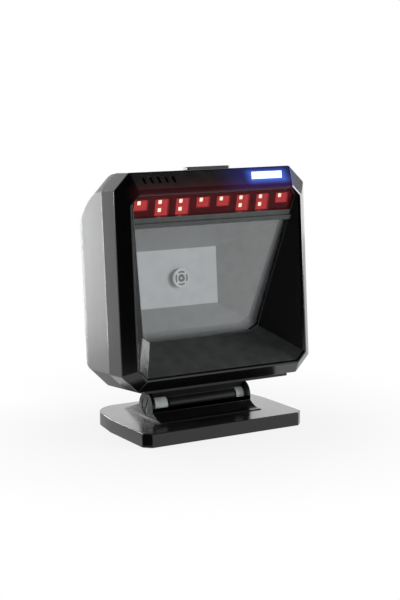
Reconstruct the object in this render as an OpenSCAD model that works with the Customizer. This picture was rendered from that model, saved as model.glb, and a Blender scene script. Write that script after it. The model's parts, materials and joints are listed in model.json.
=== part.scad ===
// Hands-free presentation barcode scanner: a tilting head with a deep scan recess on a weighted foot.
// Millimetres, +Z up, +X to the right of the front view, front towards -Y.
// The origin is the centre of the footprint, on the surface that the scanner stands on.

/* [Foot] */
// Width of the foot
base_w = 131; // [124:1:150]
// Depth of the foot, front to back
base_d = 90; // [84:1:110]
// Height of the foot's cover
base_h = 9.7; // [9.2:0.1:14]
// Cut across the two front corners
base_cut = 5; // [3:0.5:9]
// Radius of the two rear corners
base_rear_r = 20; // [16:1:26]
// Length of the rear stretch over which the sides draw in
base_taper_l = 38; // [32:1:44]
// How far each side would draw in by the rear edge
base_taper = 6; // [0:0.5:9]
// Side wall of the foot's cover
base_wall = 2.6; // [2:0.1:3.4]
// Thickness of the cover's top
cover_t = 2.4; // [2:0.1:3]
// Thickness of the ballast plate
weight_t = 3.8; // [2:0.2:4]
// Thickness of the bottom plate
bottom_t = 1.6; // [1.4:0.1:2]
// Thickness of the anti-slip pad
pad_t = 1.3; // [1:0.1:1.8]
// How far the pad lifts the cover off the table
pad_lift = 0.5; // [0.3:0.1:0.9]

/* [Hinge] */
// Hinge axis behind the middle of the foot
hinge_y = -1; // [-4:0.5:4]
// Hinge axis above the foot's top
hinge_rise = 8.1; // [7.8:0.1:11]
// Radius of the cheeks around the axis
cheek_r = 10; // [9:0.5:12]
// Outer face of each cheek from the middle
cheek_x = 41.3; // [40:0.1:44]
// Thickness of each cheek
cheek_t = 2.8; // [2.4:0.1:3.6]
// Width of the thin lip along the foot of each cheek
cheek_lip = 0.9; // [0.5:0.1:1.4]
// Reach of the saddle in front of the axis
ramp_front = 22.8; // [19:0.2:28]
// Reach of the saddle behind the axis
ramp_back = 31; // [26:0.5:38]
// Radius of the hinge pin
pin_r = 2.5; // [2:0.1:3]
// Radius of the neck's barrel
barrel_r = 6.2; // [5.4:0.1:6.6]
// Half length of the neck's barrel
barrel_half = 27.6; // [24:0.2:30]
// Middle of the barrel to the right of the head's middle
barrel_off = 2.6; // [0:0.2:4]
// Half depth of the neck's pedestal at the axis
pedestal_low = 2.6; // [2.6:0.1:5]
// Depth of the neck's pedestal at its plate
pedestal_d = 12; // [10:0.5:22]
// Radius of the two bright sleeves
sleeve_r = 6; // [5.2:0.1:6.4]
// Thickness of each spring washer
washer_t = 1.2; // [0.8:0.1:1.6]
// Radius of the end caps
cap_r = 6.4; // [5:0.1:7.5]
// Thickness of the end caps
cap_t = 1; // [0.8:0.1:1.4]

/* [Head] */
// Width of the front rim
head_w = 154.6; // [148:0.2:166]
// Height of the front rim
head_h = 150; // [146:1:160]
// Depth of the rim's straight sides
rim_d = 18.5; // [17.5:0.5:22]
// Cut across the rim's corners
corner_cut = 12; // [10:0.5:15]
// Wall of the moulded covers
wall = 2.4; // [2:0.1:2.8]
// Depth of the rear housing behind the rim
housing_d = 49; // [48.5:0.5:56]
// Step from the rim down to the rear housing
housing_step = 0.5; // [0.3:0.1:1]
// Rear corner radius of the housing, seen from above
plan_r = 18; // [12:1:24]
// Rear bottom radius of the housing, seen from the side
bottom_r = 16; // [12:1:18]
// Rear radius of the housing's lower corner cuts
low_corner_r = 24; // [16:1:30]
// Backward lean of the head at rest
head_lean = 4.4; // [0:0.2:8]
// Front of the rim ahead of the hinge axis
head_reach = 34.5; // [32:0.5:37]
// Bottom of the rim above the hinge axis
head_rise = 16.5; // [15.5:0.5:22]

/* [Front bevel] */
// Bevel run at the left and right
bevel_side = 8; // [7:0.2:9.4]
// Bevel run at the top
bevel_top = 14.5; // [13.5:0.5:16]
// Bevel run at the bottom
bevel_bottom = 8.3; // [7.4:0.1:10]
// How far the opening stands in front of the rim
bevel_out = 8.4; // [7.8:0.2:9]
// Cut across the opening's corners
opening_cut = 7; // [6:0.5:9]
// Flat lip around the opening
lip = 0.9; // [0.6:0.1:1.3]

/* [Scan recess] */
// Window's upper edge behind the rim's front
win_top_y = -0.2; // [-0.8:0.1:0.6]
// Window's upper edge below the rim's top
win_top_drop = 38; // [37:0.1:42]
// Lean of the window off vertical
win_slant = 15.8; // [14.5:0.1:17]
// Inward slope of the recess sides
side_flare = 0.67; // [0.62:0.01:0.74]
// Upward slope of the recess floor
floor_rise = 0.676; // [0.6:0.01:0.72]
// Width of the cut across the window's lower corners
win_cut_x = 6; // [4:0.5:8]
// Height of the cut across the window's lower corners
win_cut_z = 4; // [3:0.5:6]
// Height of the dark bar above the window
bar_h = 6.6; // [6:0.1:7.4]
// Height of the lamp opening above the bar
lamp_h = 16.4; // [15.6:0.1:17]
// Wall of the recess hood
hood_t = 1.8; // [1.4:0.1:2.2]
// Width of the hood's flange around the window
flange_w = 4; // [3.4:0.1:4.6]
// Thickness of the hood's flange
flange_t = 1.6; // [1.2:0.1:2]
// Thickness of the window gasket
gasket_t = 0.6; // [0.4:0.1:1]
// Thickness of the scan window
glass_t = 2; // [1.6:0.1:2.4]

/* [Lamps] */
// Number of lamp wells
well_count = 8; // [8]
// Spacing of the lamp wells
well_pitch = 16.4; // [15.8:0.1:16.6]
// Width of a lamp well
well_w = 11.2; // [10:0.2:12]
// Height of a well with one lamp
well_short = 7.6; // [6.8:0.1:8]
// Height of a well with two lamps
well_tall = 12; // [11.4:0.1:12.4]
// Depth of the wells
well_d = 4.4; // [4:0.1:5]
// Thickness of the lamp window
lamp_window_t = 1.2; // [1:0.1:1.4]
// Middle of the upper lamp below its well's top
lamp_drop = 2.9; // [2.4:0.1:3.6]
// Spacing of the two lamps in a tall well
lamp_pitch = 5.7; // [5:0.1:6.2]
// Side of a lamp
lamp_s = 3; // [2.6:0.1:3.4]
// Height of a lamp on its board
lamp_t = 1.1; // [0.8:0.1:1.6]
// Thickness of every circuit board
board_t = 1.6; // [1.2:0.1:1.8]

/* [Camera] */
// Front of the camera plate behind the rim's front
plate_y = 53; // [52:0.5:53.5]
// Half width of the camera chamber's rear end
chamber_x = 33.5; // [30:0.5:36]
// Half height of the camera chamber's rear end
chamber_z = 21; // [19:0.5:23]
// Lens axis below the window's upper edge
lens_drop = 40.7; // [38.7:0.1:42.7]
// Wall of the camera chamber
chamber_t = 1.4; // [1.2:0.1:1.8]
// Thickness of the camera plate
plate_t = 1.6; // [1.4:0.1:2]
// Radius of the lens barrel
lens_r = 6.4; // [5.8:0.1:6.8]
// Radius of the lens ring
lens_ring_r = 6.9; // [6.9:0.1:7.4]
// Thickness of the lens ring
lens_ring_t = 1.5; // [1.2:0.1:1.8]
// How far the lens stands out of the camera plate
lens_out = 5.6; // [4:0.1:7]
// Camera plate to camera board
camera_gap = 5.4; // [5:0.1:5.8]

/* [Top controls] */
// Length of the trigger button
button_w = 34.4; // [32:0.2:40]
// Width of the trigger button
button_d = 8; // [7:0.2:8.6]
// How far the button stands above the rim
button_up = 2; // [1.4:0.1:2.6]
// Middle of the button behind the rim's front
button_y = 7; // [6.6:0.1:7.6]
// Travel of the button
button_travel = 0.8; // [0.5:0.1:1]
// Thickness of the control panel
panel_t = 1; // [0.8:0.1:1.2]
// Gap between the control panel and the bevel's edges
panel_edge = 1.2; // [1:0.1:1.6]
// Height of the control panel along the bevel
panel_h = 12.2; // [11.4:0.1:12.6]
// Number of sound slots
slot_count = 5; // [3:1:5]
// Spacing of the sound slots
slot_pitch = 5.8; // [5:0.1:6]
// Width of a sound slot
slot_w = 2.1; // [1.5:0.1:2.4]
// Length of a sound slot along the bevel
slot_l = 5; // [4:0.1:5.4]
// Sideways lean of a sound slot
slot_lean = 1; // [0:0.1:1.4]
// Middle of the sound slots, in from the rim's left side
slot_in = 33.5; // [32:0.1:35]
// Middle of the indicator, in from the rim's right side
lamp_in = 33.5; // [32:0.1:35]
// Length of the indicator
lamp_l = 25.5; // [20:0.5:26]
// Height of the indicator along the bevel
lamp_bar_h = 5.7; // [4.6:0.1:6]
// Sideways lean of the indicator's ends
lamp_lean = 1.8; // [0:0.1:2.4]
// Middle of the slots and the indicator below the rim's top edge, along the bevel
control_s = 6.65; // [6.4:0.05:6.9]

/* [Interface] */
// Width of the cable socket's body
jack_w = 16; // [15:0.5:17]
// Length of the cable socket's body
jack_l = 17; // [15:0.5:18]
// Height of the cable socket's body
jack_h = 13.4; // [13:0.1:14]
// Width of the socket's mouth
mouth_w = 11.8; // [11.6:0.1:12]
// Height of the socket's mouth
mouth_h = 8; // [7.6:0.1:8.4]
// Depth of the socket's mouth
mouth_d = 12.5; // [11:0.5:13]
// Underside of the main board above the rim's bottom
board_z = 12; // [11:0.2:13]

/* [Hidden] */
$fn = 64;

// Clearances: fixed pieces that drop together, the running hinge, and moving pieces that must not rub
fit_gap = 0.1;
run_gap = 0.05;
move_gap = 0.3;
// Depth by which a cut runs past the face that it opens
past = 1;
// Thickness of the slices that a tapered form is stretched between
slice = 0.01;

// Foot: heights of the stack from the table up
base_top = pad_lift + base_h;
cover_under = base_top - cover_t;
bottom_top = pad_t + bottom_t;
// Room around the ballast plate inside the cover
weight_gap = 0.5;
// Bosses for the bottom screws stand this far in from the foot's edge
base_boss_room = 8;
base_boss_in = base_wall + base_boss_room;
base_boss_r = 3.5;
screw_r = 1.4;
screw_head_r = 2.8;
screw_head_t = 1.4;
screw_bite = 4.4;
taper_y = base_d / 2 - base_taper_l;
taper_turn = atan2(base_taper, base_taper_l);
taper_out = [cos(taper_turn), sin(taper_turn)];
rear_centre_y = base_d / 2 - base_rear_r;
rear_centre_x = (taper_out * [base_w / 2, taper_y - rear_centre_y] - base_rear_r) / taper_out[0];
rear_boss = (base_rear_r - base_boss_in) / sqrt(2);
base_boss_at = [
    [base_w / 2 - base_boss_in, -base_d / 2 + base_boss_in],
    [rear_centre_x + rear_boss, rear_centre_y + rear_boss]
];

// Hinge: the saddle's pegs go through the cover, beside the trough that clears the barrel
hinge_z = base_top + hinge_rise;
ramp_foot = 0.6;
flare_front = 3.4;
trough_gap = 0.8;
trough_r = max(barrel_r, sleeve_r) + trough_gap;
cheek_in = cheek_x - cheek_t;
peg_r = 3;
peg_in = 4;
peg_gap = 3;
peg_x = barrel_half - peg_in;
peg_y = trough_r + peg_r + peg_gap;
peg_screw_r = 1.2;
peg_head_r = 4;
peg_head_t = 1.8;
peg_bite = 3.4;
sleeve_in = barrel_half + fit_gap + washer_t;
washer_in = 1.4;
washer_r = sleeve_r - washer_in;
cap_slot_w = 1.2;
cap_slot_l = 1.5 * cap_r;
cap_slot_d = 0.5;
cap_slot_turn = 30;

// Neck: plate under the head, pedestal down to the barrel
neck_half = 59;
neck_t = 2.2;
neck_front = 2.5;
neck_tail = 23;
neck_back = head_reach + neck_tail;
pedestal_half = cheek_in - move_gap;
neck_boss_in = 13;
neck_boss_span = 8;
neck_boss_x = neck_half - neck_boss_in;
neck_boss_y = [head_reach - neck_boss_span, head_reach + neck_boss_span];
neck_boss_r = 3.2;
neck_boss_up = 6;
neck_boss_h = wall + neck_boss_up;

// Head outline and the opening's outline
half_w = head_w / 2;
open_half = half_w - bevel_side;
open_low = bevel_bottom;
open_high = head_h - bevel_top;
seam = 0.3;
seam_y = rim_d + seam;
back_y = rim_d + housing_d;
roll_r = back_y - seam_y;
house_half = half_w - housing_step;
house_high = head_h - housing_step;
// An octagon moved in by t loses this share of t from its corner cut
cut_share = 2 - sqrt(2);
// Bevel walls keep their thickness square to the slope
side_k = norm([bevel_side, bevel_out]) / bevel_out;
top_k = norm([bevel_top, bevel_out]) / bevel_out;
bottom_k = norm([bevel_bottom, bevel_out]) / bevel_out;
bevel_lean = atan2(bevel_out, bevel_top);
bevel_l = norm([bevel_top, bevel_out]);

// Joint between rim and rear housing: a tongue, and four screws in deep wells
tongue_t = 1.2;
tongue_l = 3;
tongue_hold = 0.4;
shell_boss_r = 3.6;
shell_boss_hold = 0.4;
shell_boss_x = half_w - wall - shell_boss_r + shell_boss_hold;
shell_boss_low = 32;
shell_boss_high = 46;
shell_boss_z = [shell_boss_low, head_h - shell_boss_high];
shell_boss_l = 14;
well_wall_r = 4.2;
well_r = 3.2;
well_floor = 2.4;
shell_screw_l = 10;
shell_head_t = 2;

// Scan recess: the window's plane cuts the sloped floor at win_y0, win_z0
win_top_z = head_h - win_top_drop;
win_run = tan(win_slant);
function plane_y(z) = win_top_y + (win_top_z - z) * win_run;
function side_x(y) = open_half - lip - side_flare * (y + bevel_out);
floor_0 = open_low + lip + floor_rise * bevel_out;
win_z0 = (floor_0 + floor_rise * (win_top_y + win_top_z * win_run)) / (1 + floor_rise * win_run);
win_y0 = plane_y(win_z0);
win_l = (win_top_z - win_z0) / cos(win_slant);
lamp_s0 = win_l + bar_h;
lamp_s1 = lamp_s0 + lamp_h;
lamp_cut = 5;
bar_step_h = 3.2;
bar_step_out = 1.2;
// Narrow ledge that the hood keeps around both windows
ledge = 0.4;
function half_at(s) = side_x(win_y0 - s * sin(win_slant));

// Layers behind the window's plane
gasket_n = flange_t;
glass_n = gasket_n + gasket_t;
chamber_n = glass_n + glass_t + fit_gap;
gasket_lap = 2.6;
glass_lap = 3;
chamber_lap = 0.6;
lamp_lap = 1.2;
reflector_n = flange_t + lamp_window_t + fit_gap;
lamp_board_n = reflector_n + well_d;
well_margin = 0.2;
well_top = lamp_s0 + well_margin + well_tall;
function well_is_tall(i) = (i % 4 == 1) || (i % 4 == 2);
function well_x(i) = (i - (well_count - 1) / 2) * well_pitch;

// Camera
lens_z = win_top_z - lens_drop;
plate_back = plate_y + plate_t;
plate_edge = 2.6;
camera_y = plate_back + camera_gap;
holder_half = 10;
holder_front = 2.9;
sensor_half = 5;
sensor_t = 1;
sensor_gap = 1;
sensor_room = sensor_half + sensor_gap;
lens_glass_r = 2.8;
lens_dome_r = 6;
lens_bore_in = 0.8;
lens_bore_r = lens_glass_r - lens_bore_in;
camera_half_w = 25;
camera_half_h = 18;
camera_post_r = 2.4;
camera_post_in = 4;
camera_post_x = camera_half_w - camera_post_in;
camera_post_z = camera_half_h - camera_post_in;
small_screw_r = 1;
small_head_r = 2;
small_head_t = 1.3;
small_bite = 3.6;

// Main board, its socket and the ribbon up to the camera board
board_top = board_z + board_t;
main_half = 40;
main_front = 30;
main_room = 2.2;
main_back = back_y - wall - main_room;
post_x = 34;
post_in_front = 3.5;
post_in_back = 6;
post_y = [main_front + post_in_front, main_back - post_in_back];
post_r = 3;
// Chips: place across the board and behind its front edge, width, depth and height
chips = [[0, 9, 16, 12, 1.4], [-21.5, 11.5, 11, 11, 1.2], [21, 9, 12, 8, 2]];
jack_in = 1.2;
jack_back = back_y - jack_in;
jack_floor = 2.2;
jack_gap = 0.3;
contact_count = 8;
contact_pitch = 1.02;
contact_t = 0.4;
contact_l = 8;
contact_h = 1;
ribbon_x = 13.5;
ribbon_w = 8;
ribbon_t = 0.25;
ribbon_y = camera_y + board_t + fit_gap;
ribbon_lap = 4;
socket_side = 1.2;
socket_w = ribbon_w + 2 * socket_side;
socket_d = 2.4;
socket_h = 2.6;

// Top controls
slot_x = half_w - slot_in;
lamp_x = half_w - lamp_in;
rim_under = head_h - wall;
button_r = 1.4;
button_flange = 1.2;
button_flange_t = 1.2;
flange_top = rim_under - move_gap;
stem_r = 2;
stem_l = 2.2;
plunger_r = 1.7;
plunger_l = 2.2;
plunger_top = flange_top - button_flange_t - stem_l;
switch_x = 10;
switch_half = 3;
switch_t = 2.8;
switch_rim = 0.7;
switch_top = plunger_top - switch_rim - button_travel;
button_board_z = switch_top - switch_t - board_t;
button_board_half = 28;
button_board_d = 9;
hanger_gap = 5;
hanger_x = button_w / 2 + button_flange + hanger_gap;
hanger_r = 2.2;
indicator_flange = 1.2;
indicator_flange_t = 1;
indicator_led_t = 0.9;
indicator_led_s = 2.4;
indicator_led_count = 3;
indicator_board_t = 1;
// Pieces behind the bevel's wall sit this far in
control_seat = wall + run_gap;
speaker_l = 30;
speaker_h = 7.6;
speaker_t = 2.8;

// Placing helpers
module in_head() {
    translate([0, hinge_y, hinge_z])
        rotate([-head_lean, 0, 0])
            translate([0, -head_reach, head_rise])
                children();
}
module on_window() {
    translate([0, win_y0, win_z0])
        rotate([win_slant, 0, 0])
            children();
}
module on_bevel() {
    translate([0, 0, head_h])
        rotate([-bevel_lean, 0, 0])
            children();
}
module both_sides() {
    children();
    mirror([1, 0, 0])
        children();
}
// Outline in x and z, stretched from y0 to y1
module along_y(y0, y1) {
    translate([0, y1, 0])
        rotate([90, 0, 0])
            linear_extrude(y1 - y0)
                children();
}
// Outline in y and z, stretched from x0 to x1
module along_x(x0, x1) {
    translate([x0, 0, 0])
        rotate([90, 0, 90])
            linear_extrude(x1 - x0)
                children();
}
module rod_x(r, x0, x1) {
    translate([x0, 0, 0])
        rotate([0, 90, 0])
            cylinder(r = r, h = x1 - x0);
}
module rod_y(r, y0, y1) {
    translate([0, y0, 0])
        rotate([-90, 0, 0])
            cylinder(r = r, h = y1 - y0);
}
module rod_z(r, z0, z1) {
    translate([0, 0, z0])
        cylinder(r = r, h = z1 - z0);
}
module box(x0, x1, y0, y1, z0, z1) {
    translate([x0, y0, z0])
        cube([x1 - x0, y1 - y0, z1 - z0]);
}
function octagon(half, low, high, cut) = [
    [-half + cut, low], [half - cut, low], [half, low + cut], [half, high - cut],
    [half - cut, high], [-half + cut, high], [-half, high - cut], [-half, low + cut]
];
// Outline that mirrors itself left to right, given by its right half from the bottom up
function mirrored(right) = concat(
    right,
    [for (i = [len(right) - 1 : -1 : 0]) [-right[i][0], right[i][1]]]
);

// Foot
module base_outline(inset) {
    half = base_w / 2 - inset;
    front = -base_d / 2 + inset;
    cut = base_cut - cut_share * inset;
    r = base_rear_r - inset;
    polygon(mirrored([
        [half - cut, front], [half, front + cut], [half, taper_y - inset * tan(taper_turn / 2)],
        [rear_centre_x, rear_centre_y] + (r - slice) * taper_out, [rear_centre_x, rear_centre_y + r]
    ]));
    for (side = [-1, 1])
        translate([side * rear_centre_x, rear_centre_y])
            circle(r, $fn = 96);
}
module base_plate(inset, z0, z1) {
    translate([0, 0, z0])
        linear_extrude(z1 - z0)
            base_outline(inset);
}
module at_base_bosses() {
    both_sides()
        for (p = base_boss_at)
            translate([p[0], p[1], 0])
                children();
}
module at_pegs() {
    both_sides()
        for (side = [-1, 1])
            translate([peg_x, hinge_y + side * peg_y, 0])
                children();
}
module anti_slip_pad() {
    color("#1b1b1c")
        base_plate(base_wall + fit_gap, 0, pad_t);
}
module base_bottom() {
    color("#3a3a3c")
        difference() {
            base_plate(base_wall + fit_gap, pad_t, bottom_top);
            at_base_bosses() base_screw(fit_gap);
        }
}
module base_weight() {
    color("#8d9093")
        difference() {
            base_plate(base_wall + weight_gap, bottom_top, bottom_top + weight_t);
            at_base_bosses() rod_z(base_boss_r + move_gap, 0, base_top);
            at_pegs() rod_z(peg_head_r + move_gap, 0, base_top);
        }
}
module base_cover() {
    color("#1e1f21")
        difference() {
            union() {
                difference() {
                    base_plate(0, pad_lift, base_top);
                    base_plate(base_wall, pad_lift - past, cover_under);
                }
                at_base_bosses() rod_z(base_boss_r, bottom_top, cover_under + slice);
            }
            at_base_bosses() rod_z(screw_r + run_gap, bottom_top - past, bottom_top + screw_bite + fit_gap);
            at_pegs() rod_z(peg_r + fit_gap, cover_under - past, base_top + past);
        }
}
module base_screw(gap) {
    translate([0, 0, pad_t])
        cylinder(r1 = screw_head_r + gap, r2 = screw_r + gap, h = screw_head_t);
    rod_z(screw_r + gap, pad_t, bottom_top + screw_bite);
}
module base_screws() {
    color("#7c7f82")
        at_base_bosses() base_screw(0);
}

// Hinge: outlines about the axis, with a concave flare in front and a straight ramp behind
module flare() {
    h = hinge_rise - ramp_foot - flare_front;
    run = ramp_front - cheek_r;
    r = (run * run + h * h) / (2 * h);
    intersection() {
        translate([-ramp_front, -hinge_rise + ramp_foot + r])
            circle(r, $fn = 96);
        translate([-ramp_front - past, -hinge_rise])
            square([run + past, hinge_rise - flare_front]);
    }
}
module cheek_outline() {
    intersection() {
        circle(cheek_r);
        translate([-cheek_r, -hinge_rise])
            square([2 * cheek_r, hinge_rise + cheek_r]);
    }
    saddle_outline();
}
module saddle_outline() {
    difference() {
        polygon([
            [-ramp_front, -hinge_rise], [ramp_back, -hinge_rise], [ramp_back, -hinge_rise + ramp_foot],
            [cheek_r, 0], [-cheek_r, 0], [-cheek_r, -flare_front], [-ramp_front, -hinge_rise + ramp_foot]
        ]);
        flare();
    }
}
module at_hinge() {
    translate([0, hinge_y, hinge_z])
        children();
}
// Both ends of the barrel: x runs outwards from its middle, and $to_cheek is how far the cheek lies
module at_barrel_ends() {
    for (side = [1, -1]) {
        $to_cheek = cheek_in - side * barrel_off;
        translate([barrel_off, 0, 0])
            rotate([0, 0, side > 0 ? 0 : 180])
                children();
    }
}
module hinge_saddle() {
    color("#17181a")
        difference() {
            union() {
                at_hinge() {
                    both_sides() {
                        along_x(cheek_in, cheek_x) cheek_outline();
                        box(cheek_in, cheek_x + cheek_lip, -ramp_front, ramp_back,
                            -hinge_rise, -hinge_rise + ramp_foot);
                    }
                    difference() {
                        along_x(-cheek_in - slice, cheek_in + slice) saddle_outline();
                        rod_x(trough_r, -cheek_in, cheek_in);
                        box(-cheek_in, cheek_in, -cheek_r - past, ramp_back, -flare_front, cheek_r);
                    }
                }
                at_pegs() rod_z(peg_r, cover_under, base_top + ramp_foot);
            }
            at_hinge() {
                rod_x(pin_r + run_gap, -cheek_x - past, cheek_x + past);
                both_sides()
                    rod_x(cap_r + fit_gap, cheek_x - cap_t, cheek_x + past);
            }
            at_pegs() rod_z(peg_screw_r + run_gap, cover_under - past, cover_under + peg_bite + fit_gap);
        }
}
module saddle_screws() {
    color("#7c7f82")
        at_pegs() {
            rod_z(peg_head_r, cover_under - peg_head_t, cover_under);
            rod_z(peg_screw_r, cover_under - peg_head_t, cover_under + peg_bite);
        }
}
module hinge_pin() {
    color("#9b9ea1")
        at_hinge()
            rod_x(pin_r, cap_t - cheek_x, cheek_x - cap_t);
}
module hinge_sleeves() {
    color("#aab2b0")
        at_hinge()
            at_barrel_ends()
                difference() {
                    rod_x(sleeve_r, sleeve_in, $to_cheek);
                    rod_x(pin_r + run_gap, sleeve_in - past, $to_cheek + past);
                }
}
module hinge_washers() {
    color("#54575a")
        at_hinge()
            at_barrel_ends()
                difference() {
                    rod_x(washer_r, sleeve_in - washer_t, sleeve_in);
                    rod_x(pin_r + run_gap, barrel_half, sleeve_in + past);
                }
}
module hinge_end_caps() {
    color("#26272a")
        at_hinge()
            both_sides()
                difference() {
                    rod_x(cap_r, cheek_x - cap_t, cheek_x);
                    rotate([cap_slot_turn, 0, 0])
                        box(cheek_x - cap_slot_d, cheek_x + past, -cap_slot_w / 2, cap_slot_w / 2,
                            -cap_slot_l / 2, cap_slot_l / 2);
                }
}

// Neck
module at_neck_bosses() {
    both_sides()
        for (y = neck_boss_y)
            translate([neck_boss_x, y, 0])
                children();
}
module neck_screw(gap) {
    translate([0, 0, -neck_t])
        cylinder(r1 = screw_head_r + gap, r2 = screw_r + gap, h = screw_head_t);
    rod_z(screw_r + gap, -neck_t, screw_bite);
}
module at_neck_axis() {
    translate([0, head_reach, -head_rise])
        children();
}
module neck() {
    color("#141517")
        in_head()
            difference() {
                union() {
                    box(-neck_half, neck_half, neck_front, neck_back, -neck_t, 0);
                    at_neck_axis() {
                        difference() {
                            along_x(-pedestal_half, pedestal_half)
                                polygon([
                                    [-pedestal_low, 0],
                                    [pedestal_low, 0],
                                    [pedestal_d / 2, head_rise - neck_t],
                                    [-pedestal_d / 2, head_rise - neck_t]
                                ]);
                            at_barrel_ends() rod_x(trough_r, barrel_half, $to_cheek);
                        }
                        rod_x(barrel_r, barrel_off - barrel_half, barrel_off + barrel_half);
                    }
                }
                at_neck_axis() rod_x(pin_r + run_gap, -cheek_x, cheek_x);
                at_neck_bosses() neck_screw(fit_gap);
            }
}
module neck_screws() {
    color("#7c7f82")
        in_head()
            at_neck_bosses() neck_screw(0);
}

// Rear housing: octagon from the front, round rear corners from above, and a top that rolls
// over into the back in one quarter round; the corner cuts roll over too, the lower ones later
module plan_outline(inset) {
    front = seam_y - tongue_l - past;
    corner_y = back_y - plan_r;
    translate([-house_half + inset, front])
        square([2 * (house_half - inset), corner_y - front]);
    translate([-house_half + plan_r, front])
        square([2 * (house_half - plan_r), back_y - inset - front]);
    for (side = [-1, 1])
        translate([side * (house_half - plan_r), corner_y])
            circle(plan_r - inset);
}
// Outline in y and height: a flat top, then a quarter round down to the back
module roll_outline(low, high, r, inset) {
    translate([-back_y, low])
        square([2 * back_y - r, high - inset - low]);
    translate([-back_y, low])
        square([2 * back_y - inset, high - r - low]);
    translate([back_y - r, high - r])
        circle(r - inset, $fn = 128);
}
module side_outline(inset) {
    intersection() {
        roll_outline(-past, house_high, roll_r, inset);
        mirror([0, 1])
            roll_outline(-head_h, 0, bottom_r, inset);
    }
}
// Everything on the near side of one rolled corner cut, whose face looks out at the given turn
module corner_roll(turn, out, r, inset) {
    reach = head_w + head_h;
    rotate([0, turn, 0])
        along_x(-reach, reach) roll_outline(-reach, out, r, inset);
}
module housing_form(inset, front) {
    low_out = (house_half - corner_cut) / sqrt(2);
    high_out = low_out + house_high / sqrt(2);
    intersection() {
        along_y(front, back_y)
            polygon(octagon(house_half - inset, inset, house_high - inset, corner_cut - cut_share * inset));
        translate([0, 0, -past])
            linear_extrude(head_h + 2 * past)
                plan_outline(inset);
        along_x(-half_w, half_w) side_outline(inset);
        corner_roll(45, high_out, roll_r, inset);
        corner_roll(-45, high_out, roll_r, inset);
        corner_roll(135, low_out, low_corner_r, inset);
        corner_roll(-135, low_out, low_corner_r, inset);
    }
}
module at_shell_bosses() {
    both_sides()
        for (z = shell_boss_z)
            translate([shell_boss_x, 0, z])
                children();
}
module rim_ring(outer, inner, y0, y1) {
    along_y(y0, y1)
        difference() {
            polygon(octagon(half_w - outer, outer, head_h - outer, corner_cut - cut_share * outer));
            polygon(octagon(half_w - inner, inner, head_h - inner, corner_cut - cut_share * inner));
        }
}
module rear_housing() {
    tongue_in = wall + fit_gap + tongue_t;
    color("#2a2b2d")
        in_head()
            difference() {
                union() {
                    difference() {
                        housing_form(0, seam_y);
                        housing_form(wall, seam_y - past);
                    }
                    rim_ring(wall + fit_gap, tongue_in, seam_y - tongue_l, seam_y + tongue_hold);
                    rim_ring(wall - tongue_hold + housing_step, tongue_in, seam_y, seam_y + tongue_l);
                    intersection() {
                        housing_form(tongue_hold, seam_y);
                        union() {
                            at_shell_bosses() rod_y(well_wall_r, seam_y, back_y);
                            at_neck_bosses() rod_z(neck_boss_r, 0, neck_boss_h);
                            at_board_posts() rod_z(post_r, 0, board_z);
                        }
                    }
                }
                at_shell_bosses() {
                    rod_y(well_r, seam_y + well_floor, back_y + past);
                    rod_y(screw_r + run_gap, seam_y - past, back_y);
                    rod_y(shell_boss_r + move_gap, seam_y - tongue_l - past, seam_y);
                }
                at_neck_bosses() rod_z(screw_r + run_gap, -past, screw_bite + fit_gap);
                at_board_posts()
                    rod_z(small_screw_r + run_gap, board_z - small_bite - fit_gap, board_z + past);
                box(-jack_w / 2 - jack_gap, jack_w / 2 + jack_gap, back_y - bottom_r, back_y + past,
                    board_top - jack_gap, board_top + jack_h + jack_gap);
            }
}
module housing_screws() {
    color("#7c7f82")
        in_head()
            at_shell_bosses() {
                rod_y(screw_head_r, seam_y + well_floor, seam_y + well_floor + shell_head_t);
                rod_y(screw_r, seam_y + well_floor - shell_screw_l, seam_y + well_floor + slice);
            }
}

// Front bezel: rim, convex bevel and the hollow behind them
module rim_slice(side, top, bottom, y) {
    inset = (side + top + bottom) / 3;
    along_y(y, y + slice)
        polygon(octagon(half_w - side, bottom, head_h - top, corner_cut - cut_share * inset));
}
module opening_slice(side, top, bottom, y) {
    inset = (side + top + bottom) / 3;
    along_y(y, y + slice)
        polygon(octagon(open_half - side, open_low + bottom, open_high - top,
            opening_cut - cut_share * inset));
}
module bezel_cavity(gap) {
    inset = wall + gap;
    hull() {
        opening_slice(side_k * inset, top_k * inset, bottom_k * inset, -bevel_out);
        rim_slice(side_k * inset, top_k * inset, bottom_k * inset, 0);
    }
    along_y(0, back_y)
        polygon(octagon(half_w - inset, inset, head_h - inset, corner_cut - cut_share * inset));
}
// Outline of the whole recess end in the window's plane, grown by a margin
function recess_outline(grow) = mirrored([
    [half_at(win_cut_z) - win_cut_x + grow / 2, -grow],
    [half_at(win_cut_z) + grow, win_cut_z - grow / 2],
    [half_at(lamp_s1 - lamp_cut) + grow, lamp_s1 - lamp_cut + grow / 2],
    [half_at(lamp_s1) - lamp_cut + grow / 2, lamp_s1 + grow]
]);
function window_outline(grow) = mirrored([
    [half_at(win_cut_z) - win_cut_x + grow / 2, -grow],
    [half_at(win_cut_z) + grow, win_cut_z - grow / 2],
    [half_at(win_l) + grow, win_l + grow]
]);
function lamp_outline(grow) = mirrored([
    [half_at(lamp_s0) + grow, lamp_s0 - grow],
    [half_at(lamp_s1 - lamp_cut) + grow, lamp_s1 - lamp_cut + grow / 2],
    [half_at(lamp_s1) - lamp_cut + grow / 2, lamp_s1 + grow]
]);
module recess_space() {
    hull() {
        opening_slice(lip, lip, lip, -bevel_out - slice);
        on_window()
            along_y(-slice, 0) polygon(recess_outline(0));
    }
}
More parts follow.
